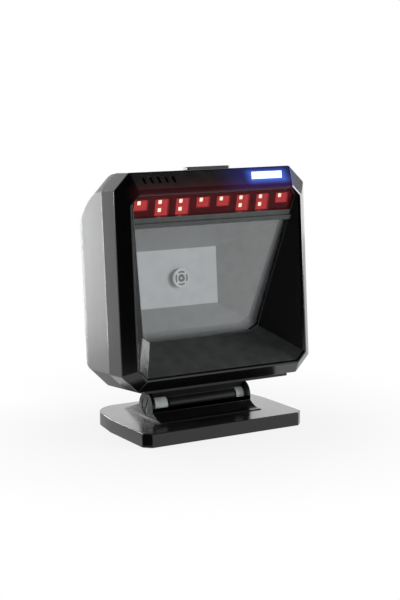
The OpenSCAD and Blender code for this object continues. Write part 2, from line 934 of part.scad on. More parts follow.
module front_bezel() {
    color("#0f1011")
        in_head()
            difference() {
                union() {
                    difference() {
                        union() {
                            along_y(0, rim_d) polygon(octagon(half_w, 0, head_h, corner_cut));
                            hull() {
                                opening_slice(0, 0, 0, -bevel_out);
                                rim_slice(0, 0, 0, 0);
                            }
                        }
                        bezel_cavity(0);
                        recess_space();
                    }
                    at_shell_bosses() rod_y(shell_boss_r, rim_d - shell_boss_l, rim_d);
                    at_hangers() rod_z(hanger_r, button_board_z + board_t, rim_under + slice);
                }
                at_shell_bosses() rod_y(screw_r + run_gap, rim_d - shell_screw_l, rim_d + past);
                at_hangers()
                    rod_z(small_screw_r + run_gap, button_board_z, button_board_z + board_t + small_bite);
                button_prism(move_gap, head_h - wall - past, head_h + past);
                on_bevel() {
                    along_y(-past, panel_t) panel_outline(fit_gap);
                    along_y(-past, wall + past) control_holes(fit_gap);
                }
            }
}

// Control panel on the top bevel, with its sound slots and the indicator's window
module panel_outline(grow) {
    half = half_w - corner_cut - panel_edge;
    shrink = (half_w - corner_cut - open_half + opening_cut) * panel_h / bevel_l;
    polygon([
        [-half - grow, -panel_edge + grow], [half + grow, -panel_edge + grow],
        [half - shrink + grow, -panel_edge - panel_h - grow],
        [-half + shrink - grow, -panel_edge - panel_h - grow]
    ]);
}
module sound_slots() {
    for (i = [0 : slot_count - 1])
        translate([-slot_x + (i - (slot_count - 1) / 2) * slot_pitch, -control_s])
            polygon([
                [-slot_w / 2 + slot_lean / 2, -slot_l / 2], [slot_w / 2 + slot_lean / 2, -slot_l / 2],
                [slot_w / 2 - slot_lean / 2, slot_l / 2], [-slot_w / 2 - slot_lean / 2, slot_l / 2]
            ]);
}
module indicator_outline(grow) {
    half_l = lamp_l / 2 + grow;
    half_h = lamp_bar_h / 2 + grow;
    shift = lamp_lean * half_h / lamp_bar_h;
    translate([lamp_x, -control_s])
        polygon([
            [-half_l - shift, -half_h], [half_l - shift, -half_h],
            [half_l + shift, half_h], [-half_l + shift, half_h]
        ]);
}
module control_holes(gap) {
    sound_slots();
    indicator_outline(gap);
}
module control_panel() {
    color("#121213")
        in_head()
            on_bevel()
                along_y(0, panel_t)
                    difference() {
                        panel_outline(0);
                        control_holes(fit_gap);
                    }
}
module indicator_lens() {
    color("#dfeaff")
        in_head()
            on_bevel() {
                along_y(0, control_seat + slice) indicator_outline(0);
                along_y(control_seat, control_seat + indicator_flange_t)
                    indicator_outline(indicator_flange);
            }
}
module indicator_leds() {
    back = control_seat + indicator_flange_t;
    color("#f4f2d0")
        in_head()
            on_bevel()
                for (i = [0 : indicator_led_count - 1])
                    translate([lamp_x + (i - (indicator_led_count - 1) / 2) * lamp_l / indicator_led_count,
                        0, -control_s])
                        box(-indicator_led_s / 2, indicator_led_s / 2, back, back + indicator_led_t,
                            -indicator_led_s / 2, indicator_led_s / 2);
}
module indicator_board() {
    front = control_seat + indicator_flange_t + indicator_led_t;
    color("#1d5a34")
        in_head()
            on_bevel()
                along_y(front, front + indicator_board_t) indicator_outline(indicator_flange / 2);
}
module speaker() {
    color("#3c3d40")
        in_head()
            on_bevel()
                along_y(control_seat, control_seat + speaker_t)
                    translate([-slot_x, -control_s])
                        square([speaker_l, speaker_h], center = true);
}

// Scan recess: hood, gasket, window
module recess_hood() {
    color("#1a1b1c")
        in_head()
            intersection() {
                difference() {
                    union() {
                        hull() {
                            opening_slice(lip - hood_t, lip - hood_t, lip - hood_t, -bevel_out);
                            on_window()
                                along_y(0, flange_t) polygon(recess_outline(hood_t));
                        }
                        on_window()
                            along_y(0, flange_t) polygon(recess_outline(flange_w));
                    }
                    difference() {
                        recess_space();
                        on_window()
                            box(-half_w, half_w, -bar_step_out, past, win_l, win_l + bar_step_h);
                    }
                    on_window()
                        along_y(-past, flange_t + past) {
                            polygon(window_outline(-ledge));
                            polygon(lamp_outline(-ledge));
                        }
                }
                bezel_cavity(fit_gap);
            }
}
module window_gasket() {
    color("#0b0b0c")
        in_head()
            on_window()
                along_y(gasket_n, gasket_n + gasket_t)
                    difference() {
                        polygon(window_outline(gasket_lap));
                        polygon(window_outline(fit_gap));
                    }
}
module scan_window() {
    color("#9fa6a8", 0.35)
        in_head()
            on_window()
                along_y(glass_n, glass_n + glass_t) polygon(window_outline(glass_lap));
}

// Lamps above the window
module lamp_window() {
    color("#5a1016", 0.5)
        in_head()
            on_window()
                along_y(flange_t, flange_t + lamp_window_t) polygon(lamp_outline(lamp_lap));
}
module lamp_reflector() {
    color("#3a1012")
        in_head()
            on_window()
                difference() {
                    along_y(reflector_n, reflector_n + well_d) polygon(lamp_outline(lamp_lap));
                    for (i = [0 : well_count - 1])
                        translate([well_x(i), 0, well_top])
                            box(-well_w / 2, well_w / 2, reflector_n - past, reflector_n + well_d + past,
                                well_is_tall(i) ? -well_tall : -well_short, 0);
                }
}
module lamp_block() {
    box(-lamp_s / 2, lamp_s / 2, lamp_board_n - lamp_t, lamp_board_n, -lamp_s / 2, lamp_s / 2);
}
module lamps() {
    color("#ff6a5a")
        in_head()
            on_window()
                for (i = [0 : well_count - 1])
                    translate([well_x(i), 0, well_top]) {
                        translate([0, 0, -lamp_drop])
                            lamp_block();
                        if (well_is_tall(i))
                            translate([0, 0, -lamp_drop - lamp_pitch])
                                lamp_block();
                    }
}
module lamp_board() {
    color("#1d5a34")
        in_head()
            on_window()
                along_y(lamp_board_n, lamp_board_n + board_t) polygon(lamp_outline(lamp_lap));
}

// Camera behind the window
module chamber_form(grow, front, back) {
    hull() {
        on_window()
            along_y(front, front + slice) polygon(window_outline(chamber_lap + grow));
        translate([0, 0, lens_z])
            box(-chamber_x - grow, chamber_x + grow, back - slice, back,
                -chamber_z - grow, chamber_z + grow);
    }
}
module camera_chamber() {
    color("#7b8083")
        in_head()
            difference() {
                chamber_form(chamber_t, chamber_n, plate_y);
                chamber_form(0, chamber_n - slice, plate_y + slice);
            }
}
module at_camera_posts() {
    for (x = [-camera_post_x, camera_post_x])
        for (z = [lens_z - camera_post_z, lens_z + camera_post_z])
            translate([x, 0, z])
                children();
}
module camera_plate() {
    reach_x = chamber_x + chamber_t + plate_edge;
    reach_z = chamber_z + chamber_t + plate_edge;
    color("#9aa0a3")
        in_head()
            difference() {
                union() {
                    box(-reach_x, reach_x, plate_y, plate_back, lens_z - reach_z, lens_z + reach_z);
                    at_camera_posts() rod_y(camera_post_r, plate_back - slice, camera_y);
                }
                translate([0, 0, lens_z])
                    rod_y(lens_r + fit_gap, plate_y - past, plate_back + past);
                at_camera_posts() rod_y(small_screw_r + run_gap, camera_y - small_bite, camera_y + past);
            }
}
module at_lens() {
    translate([0, plate_y - lens_out, lens_z])
        children();
}
module lens_ring() {
    groove_r = [0.58, 0.76] * lens_ring_r;
    spoke = 2;
    color("#8f9598")
        in_head()
            at_lens()
                difference() {
                    rod_y(lens_ring_r, 0, lens_ring_t);
                    rod_y(lens_glass_r + fit_gap, -past, lens_ring_t + past);
                    difference() {
                        rod_y(groove_r[1], -past, lens_ring_t / 2);
                        rod_y(groove_r[0], -2 * past, lens_ring_t);
                        for (turn = [45, 135])
                            rotate([0, turn, 0])
                                box(-lens_ring_r, lens_ring_r, -2 * past, lens_ring_t,
                                    -spoke / 2, spoke / 2);
                    }
                }
}
module lens_barrel() {
    color("#2b2d2f")
        in_head()
            at_lens()
                difference() {
                    rod_y(lens_r, lens_ring_t, lens_out + plate_t + holder_front - fit_gap);
                    rod_y(lens_bore_r, lens_ring_t - past, lens_out + plate_t + camera_gap);
                }
}
module lens_glass() {
    color("#c7d3da", 0.6)
        in_head()
            at_lens()
                intersection() {
                    rod_y(lens_glass_r, -past, lens_ring_t);
                    translate([0, lens_dome_r, 0])
                        sphere(lens_dome_r);
                }
}
module lens_holder() {
    color("#232426")
        in_head()
            translate([0, plate_back, lens_z])
                difference() {
                    box(-holder_half, holder_half, 0, camera_gap, -holder_half, holder_half);
                    rod_y(lens_r + run_gap, -past, holder_front);
                    box(-sensor_room, sensor_room, holder_front - slice, camera_gap + past,
                        -sensor_room, sensor_room);
                }
}
module image_sensor() {
    color("#3f4a57")
        in_head()
            translate([0, camera_y - sensor_t, lens_z])
                box(-sensor_half, sensor_half, 0, sensor_t, -sensor_half, sensor_half);
}
module camera_board() {
    color("#1d5a34")
        in_head()
            difference() {
                box(-camera_half_w, camera_half_w, camera_y, camera_y + board_t,
                    lens_z - camera_half_h, lens_z + camera_half_h);
                at_camera_posts()
                    rod_y(small_screw_r + fit_gap, camera_y - past, camera_y + board_t + past);
            }
}
module camera_screws() {
    back = camera_y + board_t;
    color("#7c7f82")
        in_head()
            at_camera_posts() {
                rod_y(small_head_r, back, back + small_head_t);
                rod_y(small_screw_r, back - board_t - small_bite + fit_gap, back + slice);
            }
}

// Main board in the bottom of the housing
module at_board_posts() {
    both_sides()
        for (y = post_y)
            translate([post_x, y, 0])
                children();
}
module main_board() {
    color("#1d5a34")
        in_head()
            difference() {
                box(-main_half, main_half, main_front, main_back, board_z, board_top);
                at_board_posts() rod_z(small_screw_r + fit_gap, board_z - past, board_top + past);
            }
}
module board_chips() {
    color("#202124")
        in_head() {
            for (chip = chips)
                translate([chip[0], main_front + chip[1], board_top])
                    box(-chip[2] / 2, chip[2] / 2, -chip[3] / 2, chip[3] / 2, 0, chip[4]);
        }
}
module board_screws() {
    color("#7c7f82")
        in_head()
            at_board_posts() {
                rod_z(small_head_r, board_top, board_top + small_head_t);
                rod_z(small_screw_r, board_z - small_bite, board_top + slice);
            }
}
module cable_socket() {
    color("#222325")
        in_head()
            translate([0, jack_back, board_top])
                difference() {
                    box(-jack_w / 2, jack_w / 2, -jack_l, 0, 0, jack_h);
                    box(-mouth_w / 2, mouth_w / 2, -mouth_d, past, jack_floor, jack_floor + mouth_h);
                }
}
module socket_contacts() {
    color("#d2b35a")
        in_head()
            translate([0, jack_back - mouth_d, board_top + jack_floor])
                for (i = [0 : contact_count - 1])
                    translate([(i - (contact_count - 1) / 2) * contact_pitch, 0, 0])
                        box(-contact_t / 2, contact_t / 2, 0, contact_l, 0, contact_h);
}
module ribbon_socket() {
    color("#d8d4c8")
        in_head()
            difference() {
                translate([ribbon_x, ribbon_y + ribbon_t / 2, board_top])
                    box(-socket_w / 2, socket_w / 2, -socket_d / 2, socket_d / 2, 0, socket_h);
                ribbon_strip(fit_gap);
            }
}
module ribbon_strip(gap) {
    half = ribbon_w / 2 + gap;
    box(ribbon_x - half, ribbon_x + half, ribbon_y - gap, ribbon_y + ribbon_t + gap,
        board_top + socket_h / 2, lens_z - camera_half_h + ribbon_lap);
}
module camera_ribbon() {
    color("#c9a36b")
        in_head() ribbon_strip(0);
}

// Trigger button on the rim's top
module button_outline(grow) {
    half_l = button_w / 2 + grow;
    half_d = button_d / 2 + grow;
    square([2 * half_l, 2 * (half_d - button_r)], center = true);
    square([2 * (half_l - button_r), 2 * half_d], center = true);
    for (x = [-1, 1])
        for (y = [-1, 1])
            translate([x * (half_l - button_r), y * (half_d - button_r)])
                circle(button_r);
}
module button_prism(grow, z0, z1) {
    translate([0, button_y, z0])
        linear_extrude(z1 - z0)
            button_outline(grow);
}
module at_switches() {
    both_sides()
        translate([switch_x, button_y, 0])
            children();
}
module at_hangers() {
    both_sides()
        translate([hanger_x, button_y, 0])
            children();
}
module trigger_button() {
    color("#2c2d2f")
        in_head() {
            button_prism(0, flange_top - slice, head_h + button_up);
            button_prism(button_flange, flange_top - button_flange_t, flange_top);
            at_switches() rod_z(stem_r, plunger_top, flange_top - button_flange_t + slice);
        }
}
module switch_plungers() {
    color("#d9d4c6")
        in_head()
            at_switches() rod_z(plunger_r, plunger_top - plunger_l, plunger_top);
}
module tact_switches() {
    color("#5d6064")
        in_head()
            at_switches()
                difference() {
                    box(-switch_half, switch_half, -switch_half, switch_half,
                        button_board_z + board_t, switch_top);
                    rod_z(plunger_r + fit_gap, plunger_top - plunger_l - button_travel - fit_gap,
                        switch_top + past);
                }
}
module button_board() {
    color("#1d5a34")
        in_head()
            difference() {
                translate([0, button_y, 0])
                    box(-button_board_half - hanger_r, button_board_half + hanger_r,
                        -button_board_d / 2, button_board_d / 2, button_board_z, button_board_z + board_t);
                at_hangers()
                    rod_z(small_screw_r + fit_gap, button_board_z - past, button_board_z + board_t + past);
            }
}
module button_board_screws() {
    color("#7c7f82")
        in_head()
            at_hangers() {
                rod_z(small_head_r, button_board_z - small_head_t, button_board_z);
                rod_z(small_screw_r, button_board_z - slice,
                    button_board_z + board_t + small_bite - fit_gap);
            }
}

anti_slip_pad();
base_bottom();
base_weight();
base_cover();
base_screws();
hinge_saddle();
saddle_screws();
hinge_pin();
hinge_sleeves();
hinge_washers();
hinge_end_caps();
neck();
neck_screws();
rear_housing();
housing_screws();
front_bezel();
control_panel();
indicator_lens();
indicator_leds();
indicator_board();
speaker();
recess_hood();
window_gasket();
scan_window();
lamp_window();
lamp_reflector();
lamps();
lamp_board();
camera_chamber();
camera_plate();
lens_ring();
lens_barrel();
lens_glass();
lens_holder();
image_sensor();
camera_board();
camera_screws();
main_board();
board_chips();
board_screws();
cable_socket();
socket_contacts();
ribbon_socket();
camera_ribbon();
button_board();
button_board_screws();
tact_switches();
trigger_button();
switch_plungers();
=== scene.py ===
"""Looks of a hands-free presentation barcode scanner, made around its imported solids."""

import sys
import json
import logging
import math
from collections.abc import Callable, Iterator
from contextlib import contextmanager
from dataclasses import dataclass, field, replace
from enum import Enum
from typing import Any

import bpy
from bpy.types import Material, Node, NodeSocket, NodeTree, Object
from mathutils import Euler, Matrix, Vector

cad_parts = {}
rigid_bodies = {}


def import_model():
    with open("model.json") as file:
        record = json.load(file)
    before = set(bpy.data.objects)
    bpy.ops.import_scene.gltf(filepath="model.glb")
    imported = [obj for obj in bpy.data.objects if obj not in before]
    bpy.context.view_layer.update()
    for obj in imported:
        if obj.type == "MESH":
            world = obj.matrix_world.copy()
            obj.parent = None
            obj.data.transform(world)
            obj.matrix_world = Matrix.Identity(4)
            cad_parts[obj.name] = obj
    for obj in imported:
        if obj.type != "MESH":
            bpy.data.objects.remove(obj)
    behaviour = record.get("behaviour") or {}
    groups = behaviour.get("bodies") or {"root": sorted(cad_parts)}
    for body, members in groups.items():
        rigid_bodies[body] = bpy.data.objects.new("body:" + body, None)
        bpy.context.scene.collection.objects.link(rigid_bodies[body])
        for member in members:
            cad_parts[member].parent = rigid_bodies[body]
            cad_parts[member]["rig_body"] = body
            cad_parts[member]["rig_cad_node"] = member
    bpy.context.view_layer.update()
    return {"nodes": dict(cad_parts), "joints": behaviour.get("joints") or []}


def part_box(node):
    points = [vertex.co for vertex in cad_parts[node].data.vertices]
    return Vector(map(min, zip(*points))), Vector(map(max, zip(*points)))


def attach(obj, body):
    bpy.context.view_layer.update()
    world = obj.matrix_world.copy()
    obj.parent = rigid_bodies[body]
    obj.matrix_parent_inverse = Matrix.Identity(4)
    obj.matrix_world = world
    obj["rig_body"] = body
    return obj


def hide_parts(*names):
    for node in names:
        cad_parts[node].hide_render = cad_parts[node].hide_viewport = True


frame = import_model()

LOG = logging.getLogger("scanner")
MM = 0.001
# How near two lengths are for a point to count as lying on a face of the solids
TOUCH = 0.06 * MM
# How much of a normal points along an axis for its face to count as facing that way
FACING = 0.9

Colour = tuple[float, float, float]
Point = tuple[float, float, float]
EdgeTest = Callable[[Vector, Vector], bool]
FaceTest = Callable[[Vector, Vector], bool]


class Body(Enum):
    """The bodies that move against each other."""

    BASE = "base"
    HEAD = "head"
    BUTTON = "button"


class Axis(Enum):
    """The three axes of the row frame."""

    X = Vector((1, 0, 0))
    Y = Vector((0, 1, 0))
    Z = Vector((0, 0, 1))


@dataclass(frozen=True)
class Datum:
    """A set of axes on the object.

    Args:
        matrix: takes a point from these axes to the row frame.
    """

    matrix: Matrix

    def moved(self, shift: Point, lean: float = 0.0) -> "Datum":
        """Shifts these axes, then leans them about X.

        Args:
            shift: the new origin, in these axes.
            lean: turn about X, in degrees.

        Returns:
            The new axes.
        """
        turn = Matrix.Rotation(math.radians(lean), 4, "X")
        return Datum(self.matrix @ Matrix.Translation(shift) @ turn)

    def into(self, point: Vector) -> Vector:
        """Gives a row frame point in these axes."""
        return self.matrix.inverted() @ point


ROW = Datum(Matrix.Identity(4))


@dataclass(frozen=True)
class HeadSizes:
    """The head's driving dimensions, and the axes that they give."""

    lean: float = 4.4
    reach: float = 34.5 * MM
    rise: float = 16.5 * MM
    half_width: float = 77.3 * MM
    height: float = 150 * MM
    corner: float = 12 * MM
    rim_depth: float = 18.5 * MM
    seam: float = 0.3 * MM
    step: float = 0.5 * MM
    bevel_side: float = 8 * MM
    bevel_top: float = 14.5 * MM
    bevel_bottom: float = 8.3 * MM
    bevel_out: float = 8.4 * MM
    opening_corner: float = 7 * MM
    lip: float = 0.9 * MM
    window_top_y: float = -0.2 * MM
    window_top_drop: float = 38 * MM
    window_slant: float = 15.8
    floor_rise: float = 0.676

    def hinge(self) -> Vector:
        """Gives the hinge's place, as the frame has it."""
        return Vector(next(j["pos_m"] for j in frame["joints"] if j["name"] == "head_tilt"))

    def axes(self) -> Datum:
        """Gives the head's axes: origin at the bottom of the rim's front plane."""
        turn = Matrix.Rotation(math.radians(-self.lean), 4, "X")
        shift = Matrix.Translation((0, -self.reach, self.rise))
        return Datum(Matrix.Translation(self.hinge()) @ turn @ shift)

    def window_axes(self) -> Datum:
        """Gives the window's axes: Z runs up the glass and Y into the head."""
        run = math.tan(math.radians(self.window_slant))
        top = self.height - self.window_top_drop
        floor = self.bevel_bottom + self.lip + self.floor_rise * self.bevel_out
        low = (floor + self.floor_rise * (self.window_top_y + top * run)) / (1 + self.floor_rise * run)
        return self.axes().moved((0, self.window_top_y + (top - low) * run, low), self.window_slant)

    def bevel_axes(self) -> Datum:
        """Gives the top bevel's axes: Z runs up the bevel to the rim and Y into it."""
        lean = math.degrees(math.atan2(self.bevel_out, self.bevel_top))
        return self.axes().moved((0, 0, self.height), -lean)


@dataclass(frozen=True)
class Octagon:
    """An upright outline with cut corners, in the head's X and Z."""

    half: float
    low: float
    high: float
    cut: float

    def depth(self, point: Vector) -> float:
        """Tells how far inside the outline a point lies.

        Args:
            point: a place in the head's axes.

        Returns:
            The distance to the nearest side, negative outside.
        """
        side = abs(point.x)
        corner = math.sqrt(0.5)
        return min(
            self.half - side,
            point.z - self.low,
            self.high - point.z,
            (self.half + self.high - self.cut - side - point.z) * corner,
            (self.half - self.low - self.cut - side + point.z) * corner,
        )

    def holds(self, point: Vector) -> bool:
        """Tells whether a point lies on the outline."""
        return abs(self.depth(point)) < TOUCH


class Wire:
    """A value in a shader. Operators on it add Math nodes."""

    def __init__(self, board: "Board", socket: NodeSocket) -> None:
        """Keeps the socket and the board that it is on."""
        self.board = board
        self.socket = socket

    def _math(self, operation: str, *values: Any) -> "Wire":
        """Adds a Math node.

        Args:
            operation: the node's operation.
            values: its wires or numbers, in order.

        Returns:
            The node's result.
        """
        return self.board.wire("ShaderNodeMath", {"operation": operation}, dict(enumerate(values)))

    def __add__(self, other: Any) -> "Wire":
        """Adds a value."""
        return self._math("ADD", self, other)

    __radd__ = __add__

    def __sub__(self, other: Any) -> "Wire":
        """Takes a value away."""
        return self._math("SUBTRACT", self, other)

    def __rsub__(self, other: Any) -> "Wire":
        """Takes this away from a value."""
        return self._math("SUBTRACT", other, self)

    def __mul__(self, other: Any) -> "Wire":
        """Multiplies by a value."""
        return self._math("MULTIPLY", self, other)

    __rmul__ = __mul__

    def __truediv__(self, other: Any) -> "Wire":
        """Divides by a value."""
        return self._math("DIVIDE", self, other)

    def __pow__(self, other: Any) -> "Wire":
        """Raises to a power."""
        return self._math("POWER", self, other)

    def __abs__(self) -> "Wire":
        """Drops the sign."""
        return self._math("ABSOLUTE", self)

    def at_least(self, other: Any) -> "Wire":
        """Takes the larger of two values."""
        return self._math("MAXIMUM", self, other)


class Board:
    """Adds and links the nodes of one shader tree."""

    def __init__(self, tree: NodeTree) -> None:
        """Clears a tree for new nodes."""
        self.tree = tree
        tree.nodes.clear()

    def add(self, kind: str, settings: dict[str, Any] | None = None,
            inputs: dict[Any, Any] | None = None) -> Node:
        """Adds a node of any type.

        Args:
            kind: the node's type.
            settings: its own settings, set first.
            inputs: wires or values for its sockets, by name or number.

        Returns:
            The new node.
        """
        node = self.tree.nodes.new(kind)
        for name, value in (settings or {}).items():
            setattr(node, name, value)
        for key, value in (inputs or {}).items():
            self.feed(node.inputs[key], value)
        return node

    def feed(self, socket: NodeSocket, value: Any) -> None:
        """Links a wire to a socket, or sets the socket's value.

        Args:
            socket: the input.
            value: a wire, a number, a colour or a vector.
        """
        if isinstance(value, Wire):
            self.tree.links.new(value.socket, socket)
        elif socket.type == "RGBA":
            socket.default_value = (*value, 1.0)
        else:
            socket.default_value = value

    def wire(self, kind: str, settings: dict[str, Any] | None = None, inputs: dict[Any, Any] | None = None,
             output: int | str = 0) -> Wire:
        """Adds a node and takes one of its outputs.

        Args:
            kind: the node's type.
            settings: its own settings.
            inputs: wires or values for its sockets.
            output: the output's name or number.

        Returns:
            The output as a wire.
        """
        return Wire(self, self.add(kind, settings, inputs).outputs[output])

    def place(self, datum: Datum = ROW) -> Wire:
        """Gives each surface point in a set of axes.

        Args:
            datum: the axes.

        Returns:
            The point, as a vector.
        """
        point = self.wire("ShaderNodeTexCoord", output="Object")
        if datum is ROW:
            return point
        turn = {"Location": datum.matrix.translation, "Rotation": datum.matrix.to_euler()}
        return self.wire("ShaderNodeMapping", {"vector_type": "TEXTURE"}, {"Vector": point, **turn})

    def split(self, vector: Wire) -> tuple[Wire, Wire, Wire]:
        """Gives a vector's three parts.

        Args:
            vector: the vector.

        Returns:
            Its X, Y and Z.
        """
        node = self.add("ShaderNodeSeparateXYZ", inputs={0: vector})
        return Wire(self, node.outputs[0]), Wire(self, node.outputs[1]), Wire(self, node.outputs[2])

    def noise(self, size: float, detail: float = 2.0, stretch: Point | None = None) -> Wire:
        """Adds cloudy variation.

        Args:
            size: how large its patches are, in metres.
            detail: how many finer layers it has.
            stretch: scale along each axis, where the patches are drawn out.

        Returns:
            A value around one half.
        """
        where = self.place()
        if stretch:
            where = self.wire("ShaderNodeMapping", {}, {"Vector": where, "Scale": stretch})
        return self.wire("ShaderNodeTexNoise", {}, {"Vector": where, "Scale": 1 / size, "Detail": detail})

    def cells(self, size: float) -> Wire:
        """Adds round cells; the value grows away from each cell's middle."""
        return self.wire("ShaderNodeTexVoronoi", {}, {"Vector": self.place(), "Scale": 1 / size})

    def rise(self, value: Wire, low: float, high: float) -> Wire:
        """Eases from 0 to 1 as a value goes from low to high.

        Args:
            value: what is measured.
            low: where the result is 0.
            high: where the result is 1.

        Returns:
            The eased value.
        """
        bounds = {"Value": value, "From Min": low, "From Max": high}
        return self.wire("ShaderNodeMapRange", {"interpolation_type": "SMOOTHSTEP"}, bounds)

    def blend(self, share: Wire | float, first: Any, second: Any) -> Wire:
        """Mixes two colours.

        Args:
            share: how much of the second there is.
            first: a colour or a wire.
            second: a colour or a wire.

        Returns:
            The mixed colour.
        """
        return self.wire("ShaderNodeMix", {"data_type": "RGBA"}, {0: share, 6: first, 7: second}, 2)

    def bump(self, height: Wire, distance: float) -> Wire:
        """Turns a height into a normal.

        Args:
            height: the height, from 0 to 1.
            distance: what a height of 1 stands for, in metres.

        Returns:
            The normal.
        """
        return self.wire("ShaderNodeBump", {}, {"Height": height, "Distance": distance})

    def tinted(self, amount: Wire, colour: Colour) -> Wire:
        """Scales a colour by a value."""
        return self.wire("ShaderNodeVectorMath", {"operation": "SCALE"}, {0: colour, "Scale": amount})

    def summed(self, first: Wire, second: Wire) -> Wire:
        """Adds two colours."""
        return self.wire("ShaderNodeVectorMath", {"operation": "ADD"}, {0: first, 1: second})

    def lit_by(self, glows: tuple["Glow", ...]) -> dict[str, Any]:
        """Adds the light of lamps nearby.

        Args:
            glows: the light of each lamp.

        Returns:
            The surface inputs that show it.
        """
        if not glows:
            return {}
        light = glows[0].paint(self)
        for glow in glows[1:]:
            light = self.summed(light, glow.paint(self))
        return {"Emission_Color": light, "Emission_Strength": 1.0}

    def surface(self, **inputs: Any) -> None:
        """Ends the tree in a principled surface.

        Args:
            inputs: its sockets, with underscores for the spaces in their names.
        """
        named = {name.replace("_", " "): value for name, value in inputs.items()}
        shader = self.wire("ShaderNodeBsdfPrincipled", {}, named)
        self.add("ShaderNodeOutputMaterial", {}, {"Surface": shader})


@dataclass(frozen=True)
class Glow:
    """Coloured light that a lamp throws on the surface around it.

    Args:
        datum: axes along the lamp.
        centre: the lamp's middle.
        half: half of its length along each axis.
        reach: how far the light runs out along each axis.
        colour: the light at the lamp's edge.
        fall: how steeply it fades.
    """

    datum: Datum
    centre: Point
    half: Point
    reach: Point
    colour: Colour
    fall: float = 2.0

    def paint(self, board: Board) -> Wire:
        """Adds the light's nodes.

        Args:
            board: the shader that it shines on.

        Returns:
            The emitted colour.
        """
        x, y, z = (
            (abs(part - middle) - half).at_least(0.0) / reach
            for part, middle, half, reach in zip(
                board.split(board.place(self.datum)), self.centre, self.half, self.reach))
        away = (x * x + y * y + z * z) ** 0.5
        return board.tinted((1.0 - away).at_least(0.0) ** self.fall, self.colour)


@dataclass(frozen=True)
class Finish:
    """A finish with a name of its own."""

    name: str

    def material(self) -> Material:
        """Gives the finish's material, painted at its first use."""
        found = bpy.data.materials.get(self.name)
        if found is None:
            found = bpy.data.materials.new(self.name)
            found.use_nodes = True
            self.paint(Board(found.node_tree))
        return found

    def paint(self, board: Board) -> None:
        """Adds the finish's nodes; each kind of finish has its own."""
        raise NotImplementedError


@dataclass(frozen=True)
class MouldedPlastic(Finish):
    """Moulded plastic: spark-eroded grain, faint mottling and handling marks.

    Args:
        colour: base colour.
        roughness: middle of its roughness.
        grain: height of the grain.
        grain_size: width of one grain.
        mottle: share by which the colour varies.
        marks: by how much the roughness varies.
        specular: strength of its gloss.
        glows: light thrown on it by lamps.
    """

    colour: Colour = (0.02, 0.02, 0.02)
    roughness: float = 0.4
    grain: float = 0.006 * MM
    grain_size: float = 0.45 * MM
    mottle: float = 0.14
    marks: float = 0.05
    specular: float = 0.5
    glows: tuple[Glow, ...] = ()

    def paint(self, board: Board) -> None:
        """Adds the plastic's nodes."""
        cloud = board.noise(9 * MM, 3.0)
        smear = board.noise(26 * MM, 4.0, (1.0, 1.0, 0.35))
        grain = board.noise(self.grain_size, 1.0)
        low = tuple(c * (1 - self.mottle) for c in self.colour)
        high = tuple(c * (1 + self.mottle) for c in self.colour)
        board.surface(
            Base_Color=board.blend(board.rise(cloud, 0.3, 0.7), low, high),
            Roughness=self.roughness + (smear - 0.5) * (2 * self.marks) + (grain - 0.5) * self.marks,
            Normal=board.bump(grain, self.grain),
            Specular_IOR_Level=self.specular,
            **board.lit_by(self.glows),
        )


@dataclass(frozen=True)
class Rubber(Finish):
    """Matt rubber with a pebbled face."""

    colour: Colour = (0.012, 0.012, 0.012)
    pebble: float = 0.9 * MM
    height: float = 0.05 * MM

    def paint(self, board: Board) -> None:
        """Adds the rubber's nodes."""
        pebbles = board.rise(board.cells(self.pebble), 0.1, 0.6)
        dust = board.rise(board.noise(14 * MM, 4.0), 0.45, 0.8)
        pale = tuple(c * 2.2 for c in self.colour)
        board.surface(
            Base_Color=board.blend(dust * 0.6, self.colour, pale),
            Roughness=0.72 + pebbles * 0.16,
            Normal=board.bump(1.0 - pebbles, self.height),
            Specular_IOR_Level=0.35,
        )


@dataclass(frozen=True)
class Metal(Finish):
    """Drawn or plated metal with fine lines along one direction.

    Args:
        colour: base colour.
        roughness: middle of its roughness.
        stretch: scale of the lines along each axis.
    """

    colour: Colour = (0.55, 0.56, 0.57)
    roughness: float = 0.3
    stretch: Point = (0.05, 1.0, 1.0)

    def paint(self, board: Board) -> None:
        """Adds the metal's nodes."""
        lines = board.noise(0.18 * MM, 2.0, self.stretch)
        tarnish = board.rise(board.noise(3 * MM, 3.0), 0.35, 0.75)
        dull = tuple(c * 0.72 for c in self.colour)
        board.surface(
            Base_Color=board.blend(tarnish, self.colour, dull),
            Metallic=1.0,
            Roughness=self.roughness + (lines - 0.5) * 0.18 + tarnish * 0.06,
            Normal=board.bump(lines, 0.004 * MM),
        )


@dataclass(frozen=True)
class ClearSheet(Finish):
    """A clear or tinted sheet that mirrors more at a slant, with a faint film of dust.

    Args:
        colour: its tint, and the tint of what it mirrors.
        cover: how much of what lies behind it is hidden.
        film: how much more the dust hides.
        mirror: 1 for a clear pane, 0 for one that is dyed through.
        specular: strength of a dyed pane's gloss.
        glows: light that shows in it.
    """

    colour: Colour = (0.9, 0.92, 0.91)
    cover: float = 0.02
    film: float = 0.01
    mirror: float = 1.0
    specular: float = 0.5
    glows: tuple[Glow, ...] = ()

    def paint(self, board: Board) -> None:
        """Adds the sheet's nodes."""
        dust = board.rise(board.noise(7 * MM, 5.0), 0.4, 0.8)
        slant = board.wire("ShaderNodeFresnel", {}, {"IOR": 1.45})
        dusty = tuple(c * 0.8 for c in self.colour)
        board.surface(
            Base_Color=board.blend(dust, self.colour, dusty),
            Metallic=self.mirror,
            Roughness=0.03 + dust * 0.05,
            Alpha=slant + dust * self.film + self.cover,
            Specular_IOR_Level=self.specular,
            **board.lit_by(self.glows),
        )


